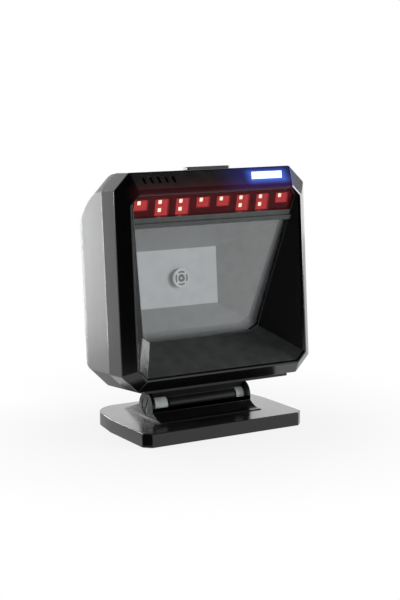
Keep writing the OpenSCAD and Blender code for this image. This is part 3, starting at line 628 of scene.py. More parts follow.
@dataclass(frozen=True)
class Laminate(Finish):
    """Circuit board: solder mask over copper runs."""

    colour: Colour = (0.012, 0.09, 0.035)
    run: float = 2.6 * MM

    def paint(self, board: Board) -> None:
        """Adds the laminate's nodes."""
        point = board.place()
        runs = board.wire(
            "ShaderNodeTexBrick", {"offset": 0.35, "squash": 1.6},
            {"Vector": point, "Scale": 1 / self.run, "Mortar Size": 0.12, "Mortar Smooth": 0.15,
             "Color1": (0, 0, 0), "Color2": (0, 0, 0), "Mortar": (1, 1, 1)}, "Fac")
        pale = (self.colour[0] + 0.02, self.colour[1] * 1.9, self.colour[2] * 1.5)
        board.surface(
            Base_Color=board.blend(runs, self.colour, pale),
            Roughness=0.34 + runs * 0.1 + board.noise(5 * MM) * 0.08,
            Normal=board.bump(runs, 0.03 * MM),
        )


@dataclass(frozen=True)
class Lamp(Finish):
    """A lit face with a hot middle.

    Args:
        datum: axes with Y square to the face.
        centre: the face's middle along X and Z.
        half: its half width and half height.
        hot: light at the middle.
        edge: light at the rim.
        lean: how far the face shifts along X for each length up Z.
    """

    datum: Datum = ROW
    centre: tuple[float, float] = (0.0, 0.0)
    half: tuple[float, float] = (1.0, 1.0)
    hot: Colour = (1.0, 1.0, 1.0)
    edge: Colour = (0.5, 0.6, 1.0)
    lean: float = 0.0

    def paint(self, board: Board) -> None:
        """Adds the lamp's nodes."""
        x, _, z = board.split(board.place(self.datum))
        z = z - self.centre[1]
        across = abs(x - self.centre[0] - z * self.lean) / self.half[0]
        rim = board.rise(across.at_least(abs(z) / self.half[1]), 0.45, 1.0)
        patch = board.noise(2.4 * MM)
        board.surface(
            Base_Color=board.blend(patch, (0.7, 0.72, 0.75), (0.82, 0.84, 0.86)),
            Roughness=0.25 + patch * 0.1,
            Emission_Color=board.blend(rim, self.hot, self.edge),
            Emission_Strength=1.0,
        )


@dataclass(frozen=True)
class LitWell(Finish):
    """Red reflector of the lamp wells, with the lamps' red light painted on it as a glow, brighter the deeper
    it lies.

    Args:
        datum: the window's axes.
        front: depth of the reflector's front face.
        back: depth of its back.
        dim: light on the front face.
        bright: light at the back.
    """

    datum: Datum = ROW
    front: float = 0.0
    back: float = 1.0
    dim: Colour = (0.09, 0.003, 0.006)
    bright: Colour = (1.0, 0.09, 0.1)

    def paint(self, board: Board) -> None:
        """Adds the well's nodes."""
        _, depth, _ = board.split(board.place(self.datum))
        lit = board.rise(depth, self.front, self.back)
        patch = board.noise(1.6 * MM, 3.0)
        board.surface(
            Base_Color=board.blend(patch, (0.04, 0.002, 0.003), (0.07, 0.004, 0.005)),
            Roughness=0.3 + patch * 0.15,
            Specular_IOR_Level=0.1,
            Emission_Color=board.blend(lit * (0.75 + patch * 0.5), self.dim, self.bright),
            Emission_Strength=1.0,
        )


PLATED_STEEL = Metal("plated steel", (0.6, 0.6, 0.61), 0.28, (1.0, 1.0, 0.1))
GREEN_BOARD = Laminate("board laminate")


class Bench:
    """Modelling by hand tools, one piece at a time."""

    DRUM_SIDES = 72
    SMOOTH_WEIGHT = 80

    @staticmethod
    def hold(piece: Object) -> Object:
        """Selects one piece alone and makes it active."""
        bpy.ops.object.select_all(action="DESELECT")
        piece.select_set(True)
        bpy.context.view_layer.objects.active = piece
        return piece

    @staticmethod
    def named(name: str) -> Object:
        """Names the active piece and its mesh."""
        piece = bpy.context.view_layer.objects.active
        piece.name = name
        piece.data.name = name
        return piece

    @staticmethod
    @contextmanager
    def editing(piece: Object, kind: str = "EDGE", fresh: bool = True) -> Iterator[None]:
        """Opens a piece for editing.

        Args:
            piece: the piece.
            kind: what is picked: VERT, EDGE or FACE.
            fresh: whether everything starts picked, or the last picks stay.

        Returns:
            A context in which edit operators work on the piece.
        """
        Bench.hold(piece)
        bpy.ops.object.mode_set(mode="EDIT")
        bpy.ops.mesh.select_mode(type=kind)
        if fresh:
            bpy.ops.mesh.select_all(action="SELECT")
        yield
        bpy.ops.object.mode_set(mode="OBJECT")

    @staticmethod
    def copy_of(node: str, name: str, weld: float = 0.03 * MM) -> Object:
        """Copies a solid as one welded mesh.

        Args:
            node: the solid's name.
            name: the new piece's name.
            weld: points nearer than this become one.

        Returns:
            The copy, at the origin.
        """
        Bench.hold(frame["nodes"][node])
        bpy.ops.object.duplicate()
        bpy.ops.object.parent_clear(type="CLEAR_KEEP_TRANSFORM")
        piece = Bench.named(name)
        del piece["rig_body"]
        del piece["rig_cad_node"]
        bpy.ops.mesh.customdata_custom_splitnormals_clear()
        with Bench.editing(piece):
            bpy.ops.mesh.remove_doubles(threshold=weld)
            bpy.ops.mesh.mark_sharp(clear=True)
            bpy.ops.mesh.dissolve_limited(angle_limit=math.radians(0.6))
        return piece

    @staticmethod
    def pick_edges(piece: Object, test: EdgeTest, sharp: float) -> int:
        """Picks the sharp edges that pass a test.

        Args:
            piece: the piece.
            test: takes the places of an edge's two ends.
            sharp: least angle between the edge's faces, in degrees.

        Returns:
            How many were picked.
        """
        with Bench.editing(piece):
            bpy.ops.mesh.select_all(action="DESELECT")
            bpy.ops.mesh.edges_select_sharp(sharpness=math.radians(sharp))
        mesh = piece.data
        chosen = [e for e in mesh.edges if e.select and test(*(mesh.vertices[v].co for v in e.vertices))]
        mesh.vertices.foreach_set("select", [False] * len(mesh.vertices))
        mesh.edges.foreach_set("select", [False] * len(mesh.edges))
        mesh.polygons.foreach_set("select", [False] * len(mesh.polygons))
        for edge in chosen:
            edge.select = True
            for corner in edge.vertices:
                mesh.vertices[corner].select = True
        return len(chosen)

    @staticmethod
    def pick_faces(piece: Object, test: FaceTest) -> int:
        """Picks the faces that pass a test.

        Args:
            piece: the piece.
            test: takes a face's middle and its normal.

        Returns:
            How many were picked.
        """
        mesh = piece.data
        mesh.vertices.foreach_set("select", [False] * len(mesh.vertices))
        mesh.edges.foreach_set("select", [False] * len(mesh.edges))
        for face in mesh.polygons:
            face.select = test(face.center, face.normal)
        return sum(face.select for face in mesh.polygons)

    @staticmethod
    def round_edges(piece: Object, width: float, test: EdgeTest, sharp: float = 20.0, steps: int = 3) -> None:
        """Rounds the sharp edges that pass a test.

        Args:
            piece: the piece.
            width: how far the round reaches from the edge.
            test: takes the places of an edge's two ends.
            sharp: least angle between the edge's faces, in degrees.
            steps: facets across the round.
        """
        if Bench.pick_edges(piece, test, sharp) == 0:
            LOG.warning("%s has no edge to round", piece.name)
            return
        with Bench.editing(piece, fresh=False):
            bpy.ops.mesh.bevel(offset=width, offset_type="OFFSET", segments=steps, profile=0.5,
                               affect="EDGES", clamp_overlap=False, miter_outer="ARC")

    @staticmethod
    def modify(piece: Object, kind: str, **settings: Any) -> None:
        """Adds a modifier and applies it.

        Args:
            piece: the piece.
            kind: the modifier's type.
            settings: its settings.
        """
        Bench.hold(piece)
        modifier = piece.modifiers.new(kind.lower(), kind)
        for name, value in settings.items():
            setattr(modifier, name, value)
        bpy.ops.object.modifier_apply(modifier=modifier.name)

    @staticmethod
    def smooth(piece: Object, angle: float = 35.0) -> Object:
        """Shades curved faces smooth and keeps flat ones flat.

        Args:
            piece: the piece.
            angle: edges sharper than this stay crisp, in degrees.

        Returns:
            The piece.
        """
        Bench.hold(piece)
        bpy.ops.object.shade_smooth_by_angle(angle=math.radians(angle))
        Bench.modify(piece, "WEIGHTED_NORMAL", keep_sharp=True, weight=Bench.SMOOTH_WEIGHT)
        return piece

    @staticmethod
    def block(name: str, low: Point, high: Point) -> Object:
        """Adds a block between two corners, with its place in its mesh.

        Args:
            name: the piece's name.
            low: lowest corner.
            high: highest corner.

        Returns:
            The block.
        """
        middle = (Vector(low) + Vector(high)) / 2
        bpy.ops.object.select_all(action="DESELECT")
        bpy.ops.mesh.primitive_cube_add(size=1.0, location=middle)
        piece = Bench.named(name)
        piece.scale = Vector(high) - Vector(low)
        bpy.ops.object.transform_apply(location=True, rotation=True, scale=True)
        return piece

    @staticmethod
    def drum(name: str, radius: float, axis: Axis, low: float, high: float, middle: Vector) -> Object:
        """Adds a drum along an axis, with its place in its mesh.

        Args:
            name: the piece's name.
            radius: its radius.
            axis: the axis that it lies along.
            low: its start along that axis, from the middle.
            high: its end.
            middle: a point on its centre line.

        Returns:
            The drum.
        """
        bpy.ops.object.select_all(action="DESELECT")
        turn = Axis.Z.value.rotation_difference(axis.value).to_euler()
        bpy.ops.mesh.primitive_cylinder_add(
            vertices=Bench.DRUM_SIDES, radius=radius, depth=high - low,
            location=middle + axis.value * (low + high) / 2, rotation=turn)
        piece = Bench.named(name)
        bpy.ops.object.transform_apply(location=True, rotation=True, scale=True)
        return piece

    @staticmethod
    def inset(piece: Object, test: FaceTest, width: float, lift: float = 0.0) -> None:
        """Insets faces and moves the inner faces along their normals.

        Args:
            piece: the piece.
            test: takes a face's middle and its normal.
            width: width of the border that is left.
            lift: how far the inner faces rise, negative into the piece.
        """
        Bench.pick_faces(piece, test)
        with Bench.editing(piece, "FACE", fresh=False):
            bpy.ops.mesh.inset(thickness=width, depth=lift, use_even_offset=True)

    @staticmethod
    def two_tone(piece: Object, main: Finish, other: Finish, test: FaceTest) -> None:
        """Gives a piece one finish, and the faces that pass a test another.

        Args:
            piece: the piece.
            main: the finish of most faces.
            other: the finish of the faces that pass.
            test: takes a face's middle and its normal.
        """
        piece.data.materials.clear()
        for finish in (main, other):
            piece.data.materials.append(finish.material())
        for face in piece.data.polygons:
            face.material_index = int(test(face.center, face.normal))

    @staticmethod
    def cut(piece: Object, tool: Object) -> None:
        """Cuts one piece's shape out of another and throws the tool away.

        Args:
            piece: what is cut.
            tool: what cuts it.
        """
        Bench.modify(piece, "BOOLEAN", operation="DIFFERENCE", solver="EXACT", object=tool)
        bpy.data.objects.remove(tool)

    @staticmethod
    def settle(piece: Object, matrix: Matrix) -> Object:
        """Moves a piece by a matrix and puts its place into its mesh.

        Args:
            piece: the piece, at the origin.
            matrix: the move.

        Returns:
            The piece.
        """
        Bench.hold(piece)
        piece.matrix_world = matrix
        bpy.ops.object.transform_apply(location=True, rotation=True, scale=True)
        return piece

    @staticmethod
    def clone(piece: Object, matrix: Matrix) -> Object:
        """Copies a piece with a mesh of its own and moves the copy.

        Args:
            piece: the piece, at the origin.
            matrix: the copy's move.

        Returns:
            The copy.
        """
        Bench.hold(piece)
        bpy.ops.object.duplicate(linked=False)
        return Bench.settle(bpy.context.view_layer.objects.active, matrix)

    @staticmethod
    def join(pieces: list[Object], name: str) -> Object:
        """Joins pieces into one.

        Args:
            pieces: the pieces.
            name: the name of the whole.

        Returns:
            The joined piece.
        """
        Bench.hold(pieces[0])
        for piece in pieces:
            piece.select_set(True)
        bpy.ops.object.join()
        return Bench.named(name)

    @staticmethod
    def solids(node: str, datum: Datum = ROW) -> list[tuple[Vector, Vector]]:
        """Measures each separate solid of a node.

        Args:
            node: the node's name.
            datum: the axes to measure in.

        Returns:
            The lowest and highest corner of each solid, from left to right.
        """
        copy = Bench.copy_of(node, "measured")
        with Bench.editing(copy):
            bpy.ops.mesh.separate(type="LOOSE")
        boxes = []
        for part in list(bpy.context.selected_objects):
            points = [datum.into(v.co) for v in part.data.vertices]
            low = Vector(min(p[i] for p in points) for i in range(3))
            high = Vector(max(p[i] for p in points) for i in range(3))
            boxes.append((low, high))
            bpy.data.objects.remove(part)
        return sorted(boxes, key=lambda box: (round(box[0].x, 5), round(box[0].z, 5), round(box[0].y, 5)))


class Assembly:
    """A sub-assembly: its pieces, as they are dressed."""

    body: Body = Body.HEAD

    def put(self, piece: Object, finish: Finish, slot: str, *nodes: str) -> Object:
        """Dresses a new piece and sets it on the assembly's body.

        Args:
            piece: the piece.
            finish: its finish; a piece that has materials already keeps them.
            slot: the record's material slot; not used.
            nodes: the solids that it stands for.

        Returns:
            The piece.
        """
        if finish.name not in [m.name for m in piece.data.materials if m]:
            piece.data.materials.clear()
            piece.data.materials.append(finish.material())
        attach(piece, self.body.value)
        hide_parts(*nodes)
        LOG.info("%s: %d faces, rides on %s", piece.name, len(piece.data.polygons), self.body.value)
        return piece

    @staticmethod
    def coat(finish: Finish, *nodes: str) -> None:
        """Gives solids that stay as they are a finish.

        Args:
            finish: the finish.
            nodes: the solids' names.
        """
        for node in nodes:
            solid = frame["nodes"][node]
            for holder in solid.material_slots:
                holder.link = "OBJECT"
                holder.material = finish.material()
            LOG.info("%s: coated with %s", node, finish.name)


@dataclass
class Foot(Assembly):
    """Weighted foot: cover, ballast, bottom plate and pad."""

    body: Body = Body.BASE
    edge: float = 0.8 * MM
    low_edge: float = 0.3 * MM
    hole_room: tuple[float, float] = (30 * MM, 20 * MM)
    corner_share: float = 0.9
    satin: Finish = MouldedPlastic("foot satin black", (0.004, 0.004, 0.0045), 0.22, 0.0015 * MM)
    plate: Finish = MouldedPlastic("bottom plate black", (0.03, 0.03, 0.032), 0.5)
    iron: Finish = Metal("ballast iron", (0.36, 0.36, 0.37), 0.45, (1.0, 0.08, 1.0))
    pad: Finish = Rubber("pad rubber")

    def build(self) -> None:
        """Rounds the cover and dresses the foot."""
        low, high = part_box("base_cover")

        def outer(point: Vector) -> bool:
            """Tells a point of the outline from one of a hole."""
            return abs(point.x) > self.hole_room[0] or abs(point.y) > self.hole_room[1]

        def top_or_corner(a: Vector, b: Vector) -> bool:
            """Finds the top edge and the upright front corners."""
            on_top = min(a.z, b.z) > high.z - TOUCH
            upright = abs(a.z - b.z) > (high.z - low.z) * self.corner_share and max(a.y, b.y) < 0
            return outer(a) and outer(b) and (on_top or upright)

        cover = Bench.copy_of("base_cover", "foot_cover")
        Bench.round_edges(cover, self.edge, top_or_corner, 25.0, 4)
        self.put(Bench.smooth(cover), self.satin, "foot_plastic", "base_cover")
        pad = Bench.copy_of("anti_slip_pad", "foot_pad")
        Bench.round_edges(pad, self.low_edge, lambda a, b: max(a.z, b.z) < TOUCH, 25.0, 2)
        self.put(Bench.smooth(pad), self.pad, "pad_rubber", "anti_slip_pad")
        self.coat(self.plate, "base_bottom")
        self.coat(self.iron, "base_weight")
        self.coat(PLATED_STEEL, "base_screws")


@dataclass
class Hinge(Assembly):
    """Hinge on the foot: saddle, pin, sleeves, washers and end caps."""

    body: Body = Body.BASE
    sizes: HeadSizes = field(default_factory=HeadSizes)
    edge: float = 0.35 * MM
    cheek_ring: float = 9 * MM
    cheek_in: float = 38.5 * MM
    cheek_out: float = 41.3 * MM
    lip_height: float = 0.6 * MM
    sleeve_radius: float = 6 * MM
    bore_radius: float = 2.55 * MM
    cap_radius: float = 6.4 * MM
    cap_depth: float = 1 * MM
    cap_ring: float = 0.55 * MM
    cap_sink: float = 0.3 * MM
    cap_step: float = 0.01 * MM
    slot_width: float = 1.0 * MM
    slot_depth: float = 0.8 * MM
    slot_round: float = 0.14 * MM
    slot_radius: float = 3.3 * MM
    slot_turn: float = 30.0
    slot_sweep: float = 100.0
    slot_steps: int = 10
    slot_bend: float = 0.62
    saddle_black: Finish = MouldedPlastic("saddle black", (0.003, 0.003, 0.0035), 0.2, 0.001 * MM,
                                          specular=0.28)
    sleeve_grey: Finish = MouldedPlastic("sleeve grey", (0.3, 0.33, 0.32), 0.3, 0.001 * MM)
    cap_black: Finish = MouldedPlastic("cap black", (0.006, 0.006, 0.0065), 0.16, 0.001 * MM, specular=0.4)
    slot_painted_shade: Finish = MouldedPlastic("slot painted shade", (0.001, 0.001, 0.001), 0.6, specular=0.05)
    steel: Finish = Metal("pin steel", (0.6, 0.6, 0.61), 0.24)
    spring: Finish = Metal("spring steel", (0.34, 0.34, 0.36), 0.36)

    def build(self) -> None:
        """Builds and dresses the hinge."""
        self.put(self.saddle(), self.saddle_black, "saddle_plastic", "hinge_saddle")
        self.put(self.sleeves(), self.sleeve_grey, "sleeve_plastic", "hinge_sleeves")
        self.put(self.caps(), self.cap_black, "cap_plastic", "hinge_end_caps")
        self.coat(self.steel, "hinge_pin")
        self.coat(self.spring, "hinge_washers")
        self.coat(PLATED_STEEL, "saddle_screws")

    def saddle(self) -> Object:
        """Rounds the cheeks' outlines and the ramps' long edges.

        Returns:
            The saddle.
        """
        axis = self.sizes.hinge()
        foot_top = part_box("base_cover")[1].z

        def on_outline(point: Vector) -> bool:
            """Tells whether a point lies on a cheek's outline or on top of its lip."""
            away = math.hypot(point.y - axis.y, point.z - axis.z)
            clear = point.z > foot_top + self.lip_height - TOUCH
            return abs(point.x) > self.cheek_in - TOUCH and away > self.cheek_ring and clear

        piece = Bench.copy_of("hinge_saddle", "saddle")
        Bench.round_edges(piece, self.edge, lambda a, b: on_outline(a) and on_outline(b), 25.0)
        return Bench.smooth(piece)

    def sleeves(self) -> Object:
        """Turns the two sleeves, each with rolled rims.

        Returns:
            Both sleeves as one piece.
        """
        axis = self.sizes.hinge()
        rim = self.sleeve_radius - TOUCH

        def on_rim(a: Vector, b: Vector) -> bool:
            """Finds the two outer end edges."""
            outer = all(math.hypot(p.y - axis.y, p.z - axis.z) > rim for p in (a, b))
            return outer and abs(a.x - b.x) < TOUCH

        turned = []
        for low, high in Bench.solids("hinge_sleeves"):
            sleeve = Bench.drum("sleeve", self.sleeve_radius, Axis.X, low.x, high.x, axis)
            bore = Bench.drum("bore", self.bore_radius, Axis.X, low.x - self.edge, high.x + self.edge, axis)
            Bench.cut(sleeve, bore)
            Bench.round_edges(sleeve, self.edge, on_rim, 40.0)
            turned.append(sleeve)
        return Bench.smooth(Bench.join(turned, "sleeves"))

    def caps(self) -> Object:
        """Models an end cap with its ring and curved slot, and turns a copy for the other side.

        Returns:
            Both caps as one piece.
        """
        axis = self.sizes.hinge()
        face = -self.cheek_out
        left = Bench.drum("cap", self.cap_radius, Axis.X, face, face + self.cap_depth, axis)

        def outer_face(middle: Vector, normal: Vector) -> bool:
            """Finds the faces that show."""
            return middle.x < face + TOUCH and normal.x < -FACING

        def inner_face(middle: Vector, normal: Vector) -> bool:
            """Finds the face inside the ring."""
            away = math.hypot(middle.y - axis.y, middle.z - axis.z)
            return outer_face(middle, normal) and away < self.cap_ring

        Bench.inset(left, outer_face, self.cap_ring)
        Bench.inset(left, inner_face, self.cap_step, -self.cap_sink)
        for turn in (0.0, 180.0):
            Bench.cut(left, self.slot_tool(turn, axis))
        inside = self.cap_radius - 2 * self.cap_ring

        def slot_edge(a: Vector, b: Vector) -> bool:
            """Finds the edges that the slot leaves in the sunk face."""
            near = all(math.hypot(p.y - axis.y, p.z - axis.z) < inside for p in (a, b))
            return near and max(a.x, b.x) < face + self.cap_sink + TOUCH

        Bench.round_edges(left, self.slot_round, slot_edge, 40.0, 2)
        # The faces deeper than the sunk face take a near-black finish as painted shade in the slot.
        sunk = face + self.cap_sink + self.slot_round
        Bench.two_tone(left, self.cap_black, self.slot_painted_shade, lambda m, n: m.x > sunk)
        half_turn = Matrix.Translation(axis) @ Matrix.Rotation(math.pi, 4, "Z") @ Matrix.Translation(-axis)
        right = Bench.clone(left, half_turn)
        return Bench.smooth(Bench.join([left, right], "end_caps"))

    def slot_tool(self, turn: float, axis: Vector) -> Object:
        """Spins a bar into half of the cap's curved slot.

        Args:
            turn: the half's turn about the axis, in degrees.
            axis: the hinge's place.

        Returns:
            The cutting tool.
        """
        half = self.slot_width / 2
        bar = Bench.block("slot", (-self.cheek_out - self.slot_depth, -half, 0.0),
                          (-self.cheek_out + self.slot_depth, half, self.slot_radius))
        Bench.pick_faces(bar, lambda m, n: n.z > FACING)
        with Bench.editing(bar, "FACE", fresh=False):
            bpy.ops.mesh.spin(steps=self.slot_steps, angle=math.radians(self.slot_sweep), axis=Axis.X.value,
                              center=(0, self.slot_radius * self.slot_bend, self.slot_radius))
        with Bench.editing(bar):
            bpy.ops.mesh.remove_doubles(threshold=0.001 * MM)
            bpy.ops.mesh.normals_make_consistent(inside=False)
        spin = Matrix.Rotation(math.radians(turn + self.slot_turn), 4, "X")
        return Bench.settle(bar, Matrix.Translation(axis) @ spin)


@dataclass
class Shell(Assembly):
    """Head's covers: front bezel, rear housing, neck and their screws."""

    sizes: HeadSizes = field(default_factory=HeadSizes)
    edge: float = 0.7 * MM
    seam_edge: float = 0.35 * MM
    neck_edge: float = 0.45 * MM
    long_edge: float = 4 * MM
    recess_width: float = 0.8 * MM
    recess_depth: float = 0.9 * MM
    recess_share: float = 0.62
    gloss: MouldedPlastic = MouldedPlastic("bezel black painted glow", (0.002, 0.002, 0.0025), 0.16, 0.001 * MM,
                                           marks=0.03, specular=0.55)
    matt: Finish = MouldedPlastic("housing grey black", (0.045, 0.045, 0.047), 0.5, 0.012 * MM, mottle=0.06)
    neck_black: Finish = MouldedPlastic("neck black", (0.005, 0.005, 0.0055), 0.3, specular=0.3)

    def build(self) -> None:
        """Builds and dresses the covers."""
        # The indicator's blue light and the lamp row's red light are painted onto the bezel as a glow.
        lit = replace(self.gloss, glows=Controls().glows())
        self.put(self.bezel(), lit, "bezel_plastic", "front_bezel")
        self.put(self.housing(), self.matt, "housing_plastic", "rear_housing")
        self.put(self.neck(), self.neck_black, "neck_plastic", "neck")
        for node, name, axis in (("housing_screws", "housing_screw_heads", Axis.Y),
                                 ("neck_screws", "neck_screw_heads", Axis.Z)):
            self.put(self.screws(node, name, axis), PLATED_STEEL, "screw_steel", node)

    def screws(self, node: str, name: str, axis: Axis) -> Object:
        """Cuts a cross recess into the head of each screw.

        Args:
            node: the screws' node.
            name: the new piece's name.
            axis: the screws' direction in the head's axes.

        Returns:
            The screws as one piece.
        """
        axes = self.sizes.axes()
        piece = Bench.copy_of(node, name)
        for low, high in Bench.solids(node, axes):
            middle = (low + high) / 2
            end = high if axis is Axis.Y else low
            face = middle + axis.value * (end - middle).dot(axis.value)
            reach = (high.x - low.x) / 2 * self.recess_share
            for long_way in (Axis.X, Axis.Z if axis is Axis.Y else Axis.Y):
                half = Vector.Fill(3, self.recess_width / 2)
                half += long_way.value * (reach - self.recess_width / 2)
                half += axis.value * (self.recess_depth - self.recess_width / 2)
                bar = Bench.block("recess", face - half, face + half)
                Bench.cut(piece, Bench.settle(bar, axes.matrix))
        return Bench.smooth(piece)

    def bezel(self) -> Object:
        """Rounds the rim, the bevel's edges and the opening's lip.

        Returns:
            The bezel.
        """
        s = self.sizes
        axes = s.axes()
        rim = Octagon(s.half_width, 0.0, s.height, s.corner)
        opening = Octagon(s.half_width - s.bevel_side, s.bevel_bottom, s.height - s.bevel_top,
                          s.opening_corner)

        def outside(point: Vector) -> bool:
            """Tells whether a row frame point lies on one of the two outlines."""
            p = axes.into(point)
            return (p.y > -TOUCH and rim.holds(p)) or (abs(p.y + s.bevel_out) < TOUCH and opening.holds(p))

        piece = Bench.copy_of("front_bezel", "bezel")
        Bench.round_edges(piece, self.edge, lambda a, b: outside(a) and outside(b))
        return Bench.smooth(piece)

    def housing(self) -> Object:
        """Rounds the housing's seam and corner edges.

        Returns:
            The housing.
        """
        s = self.sizes
        axes = s.axes()
        outline = Octagon(s.half_width - s.step, 0.0, s.height - s.step, s.corner)
        seam = s.rim_depth + s.seam

        def outside(point: Vector) -> bool:
            """Tells whether a row frame point lies on the housing's outline."""
            p = axes.into(point)
            return p.y > seam - TOUCH and outline.holds(p)

        piece = Bench.copy_of("rear_housing", "housing", self.seam_edge / 3)
        Bench.round_edges(piece, self.seam_edge, lambda a, b: outside(a) and outside(b))
        return Bench.smooth(piece)

    def neck(self) -> Object:
        """Rounds the neck's long edges.

        Returns:
            The neck.
        """
        piece = Bench.copy_of("neck", "neck_moulding")
        Bench.round_edges(piece, self.neck_edge, lambda a, b: (a - b).length > self.long_edge, 25.0)
        return Bench.smooth(piece)


@dataclass
class Controls(Assembly):
    """Top controls: panel, indicator, speaker, boards and switches."""

    sizes: HeadSizes = field(default_factory=HeadSizes)
    lamp_centre: tuple[float, float] = (43.8 * MM, -6.65 * MM)
    lamp_half: tuple[float, float] = (12.75 * MM, 2.85 * MM)
    lamp_lean: float = 1.8 / 5.7
    halo: Point = (8 * MM, 4 * MM, 5 * MM)
    spill: Point = (34 * MM, 6 * MM, 16 * MM)
    halo_drop: float = 1 * MM
    lamp_row: Point = (58 * MM, 4 * MM, 1 * MM)
    lamp_row_reach: Point = (14 * MM, 20 * MM, 11 * MM)
    halo_blue: Colour = (0.04, 0.13, 0.55)
    spill_blue: Colour = (0.008, 0.013, 0.13)
    spill_red: Colour = (0.03, 0.004, 0.005)
    spill_fall: float = 1.6
    panel_edge: float = 0.25 * MM
    lens_edge: float = 0.2 * MM

    def glows(self) -> tuple[Glow, ...]:
        """Gives the light of the indicator and of the lamp row on what lies around them.

        Returns:
            The indicator's halo and wide spill, and the lamp row's spill.
        """
        axes = self.sizes.bevel_axes()
        x, z = self.lamp_centre
        half = (self.lamp_half[0], 0.0, self.lamp_half[1])
        halo = Glow(axes, (x, 0.0, z - self.halo_drop), half, self.halo, self.halo_blue)
        spill = Glow(axes, (x, 0.0, z), half, self.spill, self.spill_blue, self.spill_fall)
        low = -math.hypot(self.sizes.bevel_top, self.sizes.bevel_out)
        row = Glow(axes, (0.0, 0.0, low), self.lamp_row, self.lamp_row_reach, self.spill_red, self.spill_fall)
        return halo, spill, row

    def build(self) -> None:
        """Dresses the controls."""
        axes = self.sizes.bevel_axes()
        # The indicator's blue light and the lamp row's red light are painted onto the panel as a glow.
        panel_black = MouldedPlastic("panel gloss black painted glow", (0.011, 0.009, 0.009), 0.16, 0.001 * MM,
                                     glows=self.glows())
        white = Lamp("indicator light", axes, self.lamp_centre, self.lamp_half, (1.0, 1.0, 1.0),
                     (0.36, 0.6, 1.0), self.lamp_lean)

        def on_front(a: Vector, b: Vector) -> bool:
            """Finds the edges of a face that lies flush with the bevel."""
            return abs(axes.into(a).y) < TOUCH and abs(axes.into(b).y) < TOUCH

        for node, name, edge, finish, slot in (
            ("control_panel", "panel", self.panel_edge, panel_black, "panel_plastic"),
            ("indicator_lens", "indicator", self.lens_edge, white, "indicator_plastic"),
        ):
            piece = Bench.copy_of(node, name)
            Bench.round_edges(piece, edge, on_front, 25.0, 2)
            self.put(Bench.smooth(piece), finish, slot, node)
        self.coat(MouldedPlastic("speaker cloth", (0.008, 0.008, 0.009), 0.8, 0.05 * MM, 0.5 * MM), "speaker")
        self.coat(GREEN_BOARD, "indicator_board", "button_board")
        self.coat(MouldedPlastic("switch grey", (0.1, 0.1, 0.11), 0.45), "tact_switches")
        self.coat(MouldedPlastic("lamp package", (0.75, 0.74, 0.66), 0.4), "indicator_leds")
        self.coat(PLATED_STEEL, "button_board_screws")


@dataclass
class Trigger(Assembly):
    """Trigger button and its plungers."""

    body: Body = Body.BUTTON
    sizes: HeadSizes = field(default_factory=HeadSizes)
    edge: float = 0.3 * MM
    border: float = 0.8 * MM
    dish: float = 0.45 * MM
    black: Finish = MouldedPlastic("button black", (0.02, 0.02, 0.021), 0.22, grain=0.002 * MM)
    ivory: Finish = MouldedPlastic("plunger ivory", (0.6, 0.57, 0.48), 0.4)

    def build(self) -> None:
        """Dishes the button's top, rounds its rim and dresses it."""
        top = self.sizes.axes()
        high = max(top.into(v.co).z for v in frame["nodes"]["trigger_button"].data.vertices)
        button = Bench.copy_of("trigger_button", "button")
        Bench.inset(button, lambda m, n: top.into(m).z > high - TOUCH and n.z > FACING, self.border)
        inner = max(button.data.polygons, key=lambda f: f.area if f.normal.z > FACING else 0.0).center.copy()
        Bench.inset(button, lambda m, n: (m - inner).length < TOUCH, self.dish / 2, -self.dish)
        Bench.round_edges(button, self.edge,
                          lambda a, b: min(top.into(a).z, top.into(b).z) > high - TOUCH, 25.0, 4)
        self.put(Bench.smooth(button), self.black, "button_plastic", "trigger_button")
        self.coat(self.ivory, "switch_plungers")


@dataclass
class ScanRecess(Assembly):
    """Scan recess: hood, gasket and window."""

    hood_black: Finish = MouldedPlastic("hood black", (0.027, 0.03, 0.029), 0.2, 0.001 * MM, marks=0.03)
    wall_painted_shade: Finish = MouldedPlastic("hood wall painted shade", (0.003, 0.003, 0.003), 0.45, specular=0.15)
    shaded_wall_facing: float = 0.7
    gasket: Finish = Rubber("gasket rubber", (0.008, 0.008, 0.008), 0.3 * MM, 0.01 * MM)
    glass: Finish = ClearSheet("scan window glass")

    def build(self) -> None:
        """Gives the hood's side walls a matt finish with shade painted into their darker colour, and dresses
        the recess.
        """
        hood = Bench.copy_of("recess_hood", "hood")
        # The side walls take a darker copy of the hood's finish: painted shade.
        Bench.two_tone(hood, self.hood_black, self.wall_painted_shade, lambda m, n: abs(n.x) > self.shaded_wall_facing)
        self.put(Bench.smooth(hood, 20.0), self.hood_black, "hood_plastic", "recess_hood")
        self.coat(self.gasket, "window_gasket")
        self.coat(self.glass, "scan_window")


